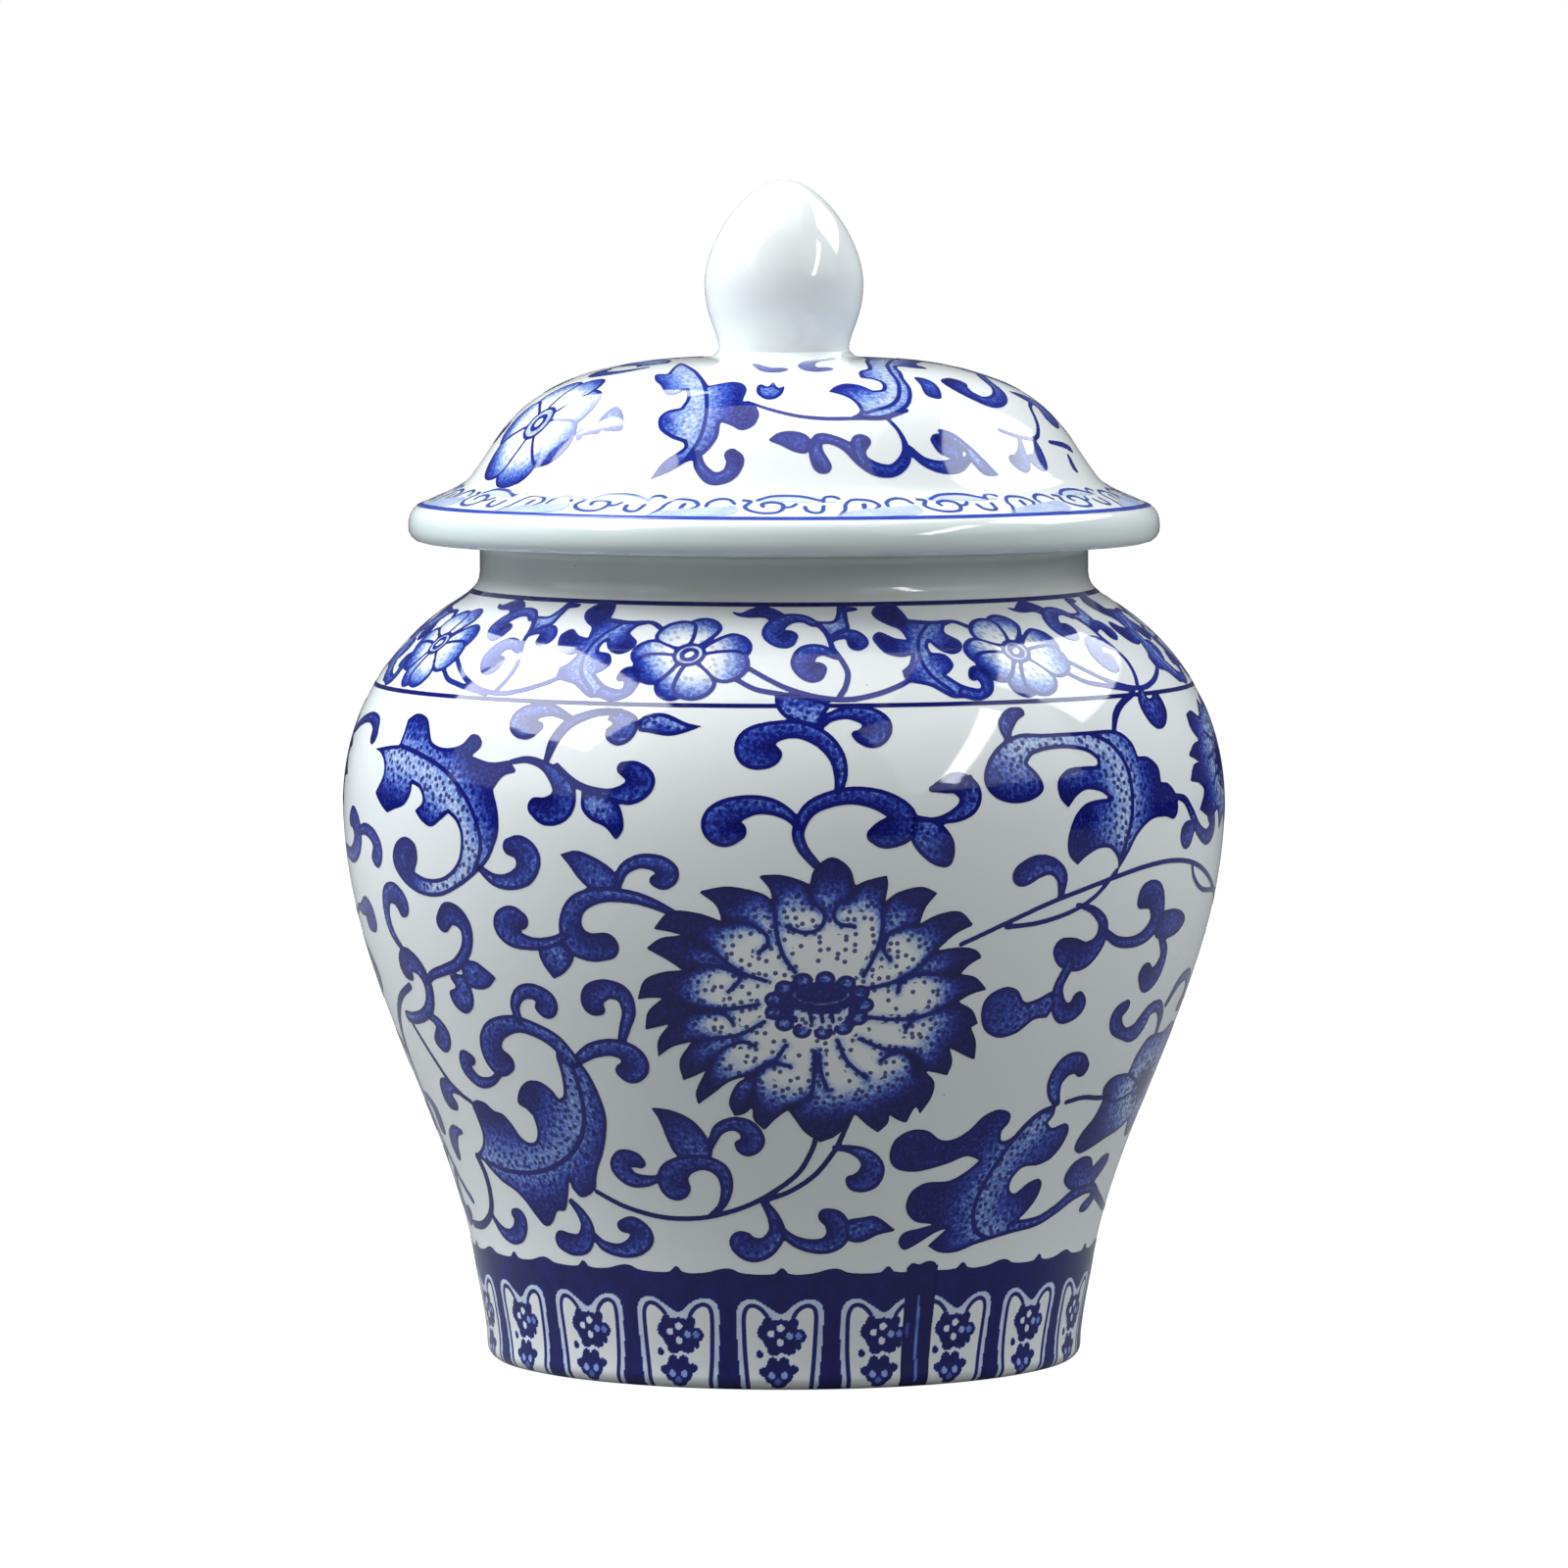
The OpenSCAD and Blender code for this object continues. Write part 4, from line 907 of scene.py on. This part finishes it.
class Nodes:
    # the nodes of one material, or of the world
    def __init__(self, owner):
        owner.use_nodes = True
        self.owner, self.tree = owner, owner.node_tree
        self.tree.nodes.clear()

    def add(self, kind, settings=None, inputs=None, output=0):
        node = self.tree.nodes.new("ShaderNode" + kind)
        for name, value in (settings or {}).items():
            if name == "stops":
                self.fillRamp(node.color_ramp, value)
            else:
                setattr(node, name, value)
        for name, value in (inputs or {}).items():
            if isinstance(value, Wire):
                self.tree.links.new(value.socket, node.inputs[name])
            else:
                node.inputs[name].default_value = value
        return Wire(self, node.outputs[output])

    def fillRamp(self, ramp, stops):
        while len(ramp.elements) < len(stops):
            ramp.elements.new(0.5)
        for element, (place, colour) in zip(ramp.elements, stops):
            element.position = place
            element.color = colour

    def mix(self, factor, a, b):
        return self.add("Mix", {"data_type": "RGBA"}, {0: factor, 6: a, 7: b}, 2)

    def noise(self, vector, size, detail=2, flat=False):
        # cloudy noise, about 0.5 on average; its features' size is in the vector's own unit
        settings = {"noise_dimensions": "2D" if flat else "3D"}
        return self.add("TexNoise", settings, {"Vector": vector, "Scale": 1 / size, "Detail": detail})

    def cells(self, vector, size, settings, randomness=1):
        # scattered points: how far off the nearest is, in cells, and its own luck, 0 to 1
        inputs = {"Vector": vector, "Scale": 1 / size, "Randomness": randomness}
        near = self.add("TexVoronoi", settings, inputs)
        return near, self.add("SeparateColor", {}, {0: self.add("TexVoronoi", settings, inputs, 1)})

    def step(self, value, low, high):
        # eases from 0 at low to 1 at high
        return self.add("MapRange", {"interpolation_type": "SMOOTHSTEP"},
                        {"Value": value, "From Min": low, "From Max": high})

    def attribute(self, name, output=2):
        return self.add("Attribute", {"attribute_name": name}, {}, output)

    def place(self):
        # the object's own coordinates, in metres
        return self.add("TexCoord", {}, {}, 3)

    def output(self, shader, kind="Material"):
        out = self.tree.nodes.new("ShaderNodeOutput" + kind)
        self.tree.links.new(shader.socket, out.inputs["Surface"])
        return self.owner

    def finish(self, **inputs):
        named = {name.replace("_", " "): value for name, value in inputs.items()}
        return self.output(self.add("BsdfPrincipled", {}, named))


def material(name):
    return Nodes(bpy.data.materials.new(name))


def paint(red, green, blue):
    # a colour as it looks on a screen, 0 to 255, turned into light
    return (*[(c / 255) ** 2.2 for c in (red, green, blue)], 1)


glaze = {
    "white": paint(227, 230, 231),
    # greener pooling colour, also laid on as painted shade on the neck and the foot
    "pooledAndShaded": paint(210, 222, 220),
    "speck": paint(120, 108, 92),
    "gloss": 0.06,
    "bump": 0.05,
    "neck": (0.1055, 0.108),     # heights between which the pooling and painted shade on the neck begins and ends
    "flange": (0.1135, 0.1165),  # and ends
    "footTop": 0.006,            # height at which the pooling and painted shade on the foot has ended
    "neckPoolAndShade": 0.8, "footPoolAndShade": 0.9,
    "speckGap": 0.0035,          # between specks, and the share of them that shows
    "speckShare": 0.12,
}


def glazedPorcelain():
    # clear glaze, greener in its pooling, with painted shade darkening it on the neck under the flange and
    # round the foot, and a few tiny iron specks
    n = material("glazed_porcelain")
    place = n.place()
    cloud = n.noise(place, 0.03)
    height = n.add("SeparateXYZ", {}, {"Vector": place}, 2)
    # painted shade: the greener pooling colour is laid on more strongly on the neck under the flange and
    # round the foot, to darken them
    neck = n.step(height, *glaze["neck"]) * (1 - n.step(height, *glaze["flange"]))
    foot = 1 - n.step(height, 0, glaze["footTop"])
    poolingAndShade = neck * glaze["neckPoolAndShade"] + foot * glaze["footPoolAndShade"]
    pooledAndShaded = n.add("Math", {"operation": "ADD", "use_clamp": True}, {0: poolingAndShade, 1: cloud * 0.3})
    colour = n.mix(pooledAndShaded, glaze["white"], glaze["pooledAndShaded"])
    near, luck = n.cells(place, glaze["speckGap"], {})
    speck = (1 - n.step(near, 0.015, 0.05)) * (luck < glaze["speckShare"])
    colour = n.mix(speck * 0.6, colour, glaze["speck"])
    ripple = n.noise(place, 0.006, 1)
    bump = n.add("Bump", {}, {"Strength": glaze["bump"], "Distance": 0.0004, "Height": ripple})
    rough = cloud * 0.05 + (glaze["gloss"] - 0.02)
    return n.finish(Base_Color=colour, Roughness=rough, IOR=1.52, Normal=bump)


biscuit = {
    "clay": paint(233, 227, 216), "shade": paint(219, 209, 194),
    "rough": 0.85, "grain": 0.0005, "stain": 0.009,
}


def bareBiscuit():
    # unglazed clay, matt and faintly stained
    n = material("bare_biscuit")
    place = n.place()
    grain = n.noise(place, biscuit["grain"], 3)
    stain = n.noise(place, biscuit["stain"], 3)
    colour = n.mix(n.step(stain, 0.4, 0.75), biscuit["clay"], biscuit["shade"])
    bump = n.add("Bump", {}, {"Strength": 0.35, "Distance": 0.00008, "Height": grain})
    rough = grain * 0.2 + (biscuit["rough"] - 0.1)
    return n.finish(Base_Color=colour, Roughness=rough, IOR=1.45, Normal=bump)


cobalt = {
    "paper": glaze["white"],
    "faint": paint(198, 208, 226),
    "wash": paint(124, 152, 214),
    "blue": paint(54, 76, 172),
    "deep": paint(24, 32, 116),
    "navy": paint(16, 18, 86),
    "line": paint(22, 29, 110),
    "softLine": paint(32, 44, 130),
    "paleLine": paint(66, 84, 160),
    "dotSpacing": 1.15,  # of the stipple, in millimetres
    "dot": 0.29,         # radius of a dot, as a share of the spacing
}
# the tone at which each colour is reached
cobaltTones = {"paper": -0.5, "faint": -0.15, "wash": 0.15, "blue": 0.5, "deep": 0.9, "navy": 1.15}


def alongRamp(tone):
    # where a tone lies on the colour ramp, for a number and for a Wire alike
    low, high = inkShape["tones"]
    return (tone - low) * (1 / (high - low))


def printedCobalt(name, line, stipple, grain):
    # cobalt melted into the glaze: a wash from each point's tone, lines from its ink, and
    # stipple dots that crowd where the tone is deep
    n = material(name)
    ink, tone = n.attribute("ink"), n.attribute("tone")
    spot = n.attribute("spot", 1)
    cloud = n.noise(spot, 3, 2, True)
    uneven = n.noise(spot, 0.5, 2, True)
    grainy = n.step(tone, inkShape["tones"][0], 0.2)
    shaken = tone + (cloud - 0.5) * 0.25 + (uneven - 0.5) * grainy * grain
    stops = [(alongRamp(reached), cobalt[shade]) for shade, reached in cobaltTones.items()]
    colour = n.add("ValToRGB", {"stops": stops}, {"Fac": alongRamp(shaken)})
    if stipple:
        near, luck = n.cells(spot, cobalt["dotSpacing"], {"voronoi_dimensions": "2D"}, 0.85)
        dots = 1 - n.step(near, cobalt["dot"] - 0.06, cobalt["dot"] + 0.06)
        colour = n.mix(dots * (luck < n.step(tone, -1, 0.1)) * stipple, colour, cobalt["line"])
    inked = 1 - n.step(ink + (uneven - 0.5) * 0.06, -0.07, 0.09)
    colour = n.mix(inked, colour, n.mix(n.step(tone, 0.9, 1.1), line, cobalt["navy"]))
    return n.finish(Base_Color=colour, Roughness=glaze["gloss"], IOR=1.52)


glazeSkin, biscuitSkin = glazedPorcelain(), bareBiscuit()
stippledSkin = printedCobalt("cobalt_stippled", cobalt["line"], 0.9, 1)
softSkin = printedCobalt("cobalt_soft", cobalt["softLine"], 0.35, 0.8)
plainSkin = printedCobalt("cobalt_plain", cobalt["line"], 0, 0.1)
paleSkin = printedCobalt("cobalt_pale", cobalt["paleLine"], 0, 0.3)

# The porcelain pieces. Each is one closed surface of rings about the axis.
rings = {"columns": 288, "row": 0.8}  # faces round the axis, and a face's height


def turnedPiece(name, surface, inner, isBare, node, body):
    # surface is the outside, and inner closes it, as radius and height;
    # isBare tells from a radius and height whether the clay there has no glaze
    angles = np.linspace(0, 360, rings["columns"], endpoint=False)
    along = np.linspace(0, surface.reach[-1], int(surface.reach[-1] / rings["row"]))
    outer = surface.points(angles[None, :], along[:, None], -glazeShape["inset"])
    turn = np.radians(angles)
    inner = np.array(inner, float)
    plain = np.stack([inner[:, :1] * np.sin(turn), -inner[:, :1] * np.cos(turn), inner[:, 1:] + 0 * turn], -1)
    points = np.concatenate([outer, plain]) * mm
    rows, columns = points.shape[:2]
    index = np.arange(rows * columns).reshape(rows, columns)
    above, beside = np.roll(index, -1, 0), np.roll(index, -1, 1)
    faces = np.stack([index, beside, np.roll(above, -1, 1), above], -1).reshape(-1, 4)
    mesh = bpy.data.meshes.new(name)
    mesh.from_pydata(points.reshape(-1, 3).tolist(), [], faces.tolist())
    piece = bpy.data.objects.new(name, mesh)
    scene.collection.objects.link(piece)
    mesh.materials.append(glazeSkin)
    mesh.materials.append(biscuitSkin)
    bare = np.array([isBare(*row) for row in middleRows(outer, inner)])
    mesh.polygons.foreach_set("material_index", np.repeat(bare, columns).astype(int))
    mesh.polygons.foreach_set("use_smooth", [True] * len(mesh.polygons))
    build = bmesh.new()
    build.from_mesh(mesh)
    bmesh.ops.remove_doubles(build, verts=build.verts, dist=1e-6)
    build.to_mesh(mesh)
    build.free()
    mesh.set_sharp_from_angle(angle=np.radians(50))
    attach(piece, body)
    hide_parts(node)


def middleRows(outer, inner):
    # the radius and height of the middle of each row of faces
    side = np.vstack([np.column_stack([np.hypot(outer[:, 0, 0], outer[:, 0, 1]), outer[:, 0, 2]]), inner])
    return (side + np.roll(side, -1, 0)) / 2


def jarInside():
    s = jarShape
    mouth = s["neckRadius"] - s["wall"]
    ease = (s["wall"] - s["rimLand"]) / 2
    middle = s["neckRadius"] - s["wall"] / 2
    top = s["height"] - ease
    side = jarSide()
    side = side[side[:, 1] >= s["ankleZ"]][:-1]
    wall = offset(side, s["wall"])
    heel = wall[0]
    floor = s["recess"] + s["floor"]
    ring = s["footRadius"] - s["footEdge"] - s["ringWidth"]
    return np.vstack([
        arc((middle + s["rimLand"] / 2, top), ease, 0, 90, 8)[1:],
        arc((middle - s["rimLand"] / 2, top), ease, 90, 180, 8),
        [[mouth, s["shoulderZ"] + 4]],
        wall[wall[:, 1] < s["shoulderZ"] + 3.5][::-1],
        cubic(heel, heel - (1.2, 4), (heel[0] - 3, floor), (heel[0] - 9, floor), 12),
        [[0, floor], [0, s["recess"]], [ring - s["recess"] / 2, s["recess"]], [ring, 0]],
    ])


def lidInside():
    s = lidShape
    rim = jarShape["height"]
    collar = jarShape["neckRadius"] - jarShape["wall"] - s["collarGap"]
    bottom = rim - s["collarDrop"]
    side = lidSide()
    dome = offset(side[side[:, 1] >= rim + 8.5], jarShape["wall"])
    dome = dome[(dome[:, 0] < collar - 0.5) & (dome[:, 0] > 14)]
    crown = rim + s["crown"]
    thin = collar - s["collarWall"]
    return np.vstack([
        [[0, crown], [0, crown - s["pad"] - jarShape["wall"]]],
        dome[::-1],
        [[thin, rim + 2.5], [thin, bottom + 1], [thin + 1, bottom], [collar - 1, bottom],
         [collar, bottom + 1], [collar, rim]],
    ])


bareClay = {
    # the limits of the bare faces, as heights and radii
    "footTop": 0.3, "footInside": 34, "rimDepth": 0.15,
    "seatInside": 35, "seatLow": 110.9, "collarTop": 105,
}


def jarBare(radius, height):
    # the face of the foot ring and the land on the rim
    onFoot = height < bareClay["footTop"] and radius > bareClay["footInside"]
    return onFoot or height > jarShape["height"] - bareClay["rimDepth"]


def lidBare(radius, height):
    # the seat under the flange and the bottom of the collar
    under = height < jarShape["height"] + 0.05 and radius > bareClay["seatInside"]
    return under and (height > bareClay["seatLow"] or height < bareClay["collarTop"])


def knobBare(radius, height):
    return False


turnedPiece("jar_porcelain", jarSurface, jarInside(), jarBare, "jar_body", "jar")
turnedPiece("lid_porcelain", lidSurface, lidInside(), lidBare, "lid_shell", "lid")


def knobSide():
    s = knobShape
    low = jarShape["height"] + lidShape["crown"]
    seat = np.array([s["seatRadius"], low])
    wide = np.array([s["radius"], low + s["height"] * 0.39])
    tip = np.array([0, low + s["height"]])
    return np.vstack([
        [[s["seatRadius"] + 0.15, low - s["sunk"]], seat],
        cubic(seat, seat + (0.2, 2.4), wide - (0, 4.4), wide, 16),
        cubic(wide, wide + (0, 5.8), tip + (5.3, 0), tip, 28),
    ])


knobSurface = Turned(knobSide())
knobBottom = [[0, jarShape["height"] + lidShape["crown"] - knobShape["sunk"]]]
turnedPiece("knob_porcelain", knobSurface, knobBottom, knobBare, "lid_knob", "lid")
print("porcelain turned")


def printPiece(name, cut, surface, middle, body, skin, layer=0):
    # a printed piece lies a hair over the glaze and follows it exactly
    across, along = cut["spots"].T
    angle = middle + np.degrees(across / surface.radius(along))
    lift = glazeShape["printLift"] - glazeShape["inset"] + layer * glazeShape["layer"]
    mesh = bpy.data.meshes.new(name)
    mesh.from_pydata((surface.points(angle, along, lift) * mm).tolist(), [], cut["faces"])
    mesh.polygons.foreach_set("use_smooth", [True] * len(mesh.polygons))
    for field in ("ink", "tone"):
        mesh.attributes.new(field, "FLOAT", "POINT").data.foreach_set("value", cut[field].astype(np.float32))
    shift = middle * 0.8  # so that the grain differs from one print to the next
    flat = np.column_stack([across + shift, along, 0 * along]).astype(np.float32)
    mesh.attributes.new("spot", "FLOAT_VECTOR", "POINT").data.foreach_set("vector", flat.ravel())
    mesh.normals_split_custom_set_from_vertices(surface.normals(angle, along))
    mesh.materials.append(skin)
    piece = bpy.data.objects.new(name, mesh)
    scene.collection.objects.link(piece)
    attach(piece, body)


def printRound(name, motif, surface, turns, body, skin, layer=0, grid=inkShape["grid"], lowest=0.05):
    # one motif, printed at each of the turns
    middle, marks = motif
    cut = cutSheet(Sheet(surface, middle, marks, grid, lowest))
    for number, turn in enumerate(turns, 1):
        printPiece(f"{name}_{number}", cut, surface, middle + turn, body, skin, layer)


def ringLine(name, surface, low, high, tone, body, skin, layer=0):
    # a plain line all the way round
    angle = np.linspace(0, 360, rings["columns"], endpoint=False)
    angles, alongs = np.meshgrid(angle, np.linspace(low, high, 4))
    index = np.arange(angles.size).reshape(angles.shape)
    beside = np.roll(index, -1, 1)
    faces = np.stack([index[:-1], beside[:-1], beside[1:], index[1:]], -1).reshape(-1, 4)
    across = np.radians(angles.ravel()) * surface.radius(alongs.ravel())
    depth = -0.3 if tone >= 0.8 else 0.3  # a dark line is ink all through, and a paler one is wash
    cut = {"spots": np.column_stack([across, alongs.ravel()]), "faces": faces.tolist(),
           "ink": np.full(across.size, depth), "tone": np.full(across.size, tone)}
    printPiece(name, cut, surface, 0, body, skin, layer)


printPlan = {
    "twice": (0, 180),
    "sprays": 7,                              # round the shoulder
    "shoulderHigh": (114.6, 115.4), "shoulderLow": (96.38, 97),
    "panels": 19, "firstPanel": 33.5, "panelPitch": 19.17, "seam": 25.4,
    "scrolls": 12, "flangeLine": (6.5, 7.4),  # round the lid
    "fineGrid": 0.18, "scrollGrid": 0.2, "sprayGrid": 0.26,
    "footLowest": 0.7,                        # where the foot band begins
}
for name, motif in motifs.items():
    printRound(name, motif, jarSurface, printPlan["twice"], "jar", stippledSkin, 2 if name == "lotus" else 1)
print("main field printed")
turns = [360 / printPlan["sprays"] * k for k in range(printPlan["sprays"])]
sprayGrid = printPlan["sprayGrid"]
printRound("shoulderSpray", (11, shoulderSpray), jarSurface, turns, "jar", softSkin, 1, sprayGrid)
ringLine("shoulderLineHigh", jarSurface, *printPlan["shoulderHigh"], 1, "jar", plainSkin)
ringLine("shoulderLineLow", jarSurface, *printPlan["shoulderLow"], 1, "jar", plainSkin)
turns = [printPlan["firstPanel"] + printPlan["panelPitch"] * k for k in range(printPlan["panels"])]
for name, marks, places, layer in (
        ("footPanel", footPanel, turns[::2], 0), ("footPanelBetween", footPanel, turns[1::2], 0.5),
        ("footSeam", footSeam, [printPlan["seam"]], 1.5)):
    printRound(name, (0, marks), jarSurface, places, "jar", plainSkin, layer,
               printPlan["fineGrid"], printPlan["footLowest"])
print("shoulder and foot printed")
for name, motif in lidSprays.items():
    title = "lid" + name[0].upper() + name[1:]
    printRound(title, motif, lidSurface, printPlan["twice"], "lid", softSkin, 1)
turns = [360 / printPlan["scrolls"] * k for k in range(printPlan["scrolls"])]
printRound("flangeScroll", (-3, flangeScroll), lidSurface, turns, "lid", paleSkin, 1, printPlan["scrollGrid"])
ringLine("flangeLine", lidSurface, *printPlan["flangeLine"], 0.55, "lid", plainSkin, 2)
print("lid printed")

# The floor, the lights and the camera.
studio = {
    "camera": (0, -1.382, 0.1716), "pitch": 86.122, "lens": 234,
    "floor": paint(116, 116, 116), "floorShade": paint(106, 107, 108),
    "nearLift": paint(232, 232, 233),
    "air": paint(84, 84, 82),
    "warm": (1, 0.965, 0.935), "pale": (0.94, 0.975, 1), "cool": (0.89, 0.955, 1), "plain": (1, 1, 1),
    "lampCentre": (0, 0, 0.1),
}
lamps = {
    # azimuth, elevation, distance, size, power, colour and roll
    "leftBox": (-84, 44, 0.8, (0.8, 0.45), 9.5, "pale", 0),
    "farLeftBox": (-140, 45, 0.9, (0.5, 0.4), 3.4, "cool", 0),
    "rightBox": (118, 42, 0.9, (0.7, 0.4), 5.4, "cool", 0),
    "stripBox": (55, 29, 1.2, (0.1, 0.8), 3, "plain", -40),
    "topBox": (0, 82, 0.8, (0.7, 0.7), 2.2, "warm", 0),
    "leftFill": (-72, 26, 1.4, (1.4, 0.9), 3.6, "cool", 0),
    "rightFill": (58, 30, 1.4, (1.4, 0.9), 4.4, "cool", 0),
}


def softbox(name, azimuth, elevation, distance, size, power, colour, roll):
    # azimuth 0 is towards the viewer and grows to the right; roll tilts the box in its own plane
    a, e = np.radians(azimuth), np.radians(elevation)
    light = bpy.data.lights.new(name, "AREA")
    light.shape = "RECTANGLE"
    light.size, light.size_y = size
    light.energy = power
    light.color = studio[colour]
    lamp = bpy.data.objects.new(name, light)
    direction = Vector((np.sin(a) * np.cos(e), -np.cos(a) * np.cos(e), np.sin(e)))
    lamp.location = Vector(studio["lampCentre"]) + direction * distance
    turn = direction.to_track_quat("Z", "Y") @ Quaternion((0, 0, 1), np.radians(roll))
    lamp.rotation_euler = turn.to_euler()
    scene.collection.objects.link(lamp)


for name, settings in lamps.items():
    softbox(name, *settings)


def paleFloor():
    # a wide floor, lifted towards white as the camera sees it
    n = material("pale_floor")
    place = n.place()
    colour = n.mix(n.noise(place, 0.4) * 0.1, studio["floor"], studio["floorShade"])
    away = n.add("VectorMath", {"operation": "LENGTH"}, {0: place}, 1)
    lift = n.mix(n.step(away, 0.1, 0.9), studio["nearLift"], paint(255, 255, 255))
    lift = n.mix(n.add("LightPath"), paint(0, 0, 0), lift)
    skin = n.finish(Base_Color=colour, Roughness=0.7, Emission_Color=lift, Emission_Strength=1)
    bpy.ops.mesh.primitive_plane_add(size=60, location=(0, 20, -0.0002))
    floor = bpy.context.object
    floor.name = "floor"
    floor.data.materials.append(skin)


paleFloor()
air = Nodes(bpy.data.worlds.new("studioAir"))
glow = air.mix(air.add("LightPath"), studio["air"], paint(255, 255, 255))
scene.world = air.output(air.add("Background", {}, {"Color": glow, "Strength": 1}), "World")
scene.view_settings.view_transform = "Standard"

eye = bpy.data.objects.new("camera", bpy.data.cameras.new("camera"))
eye.data.lens = studio["lens"]
eye.data.sensor_width = 36
eye.data.clip_end = 20
eye.location = studio["camera"]
eye.rotation_euler = (np.radians(studio["pitch"]), 0, 0)
scene.collection.objects.link(eye)
scene.camera = eye
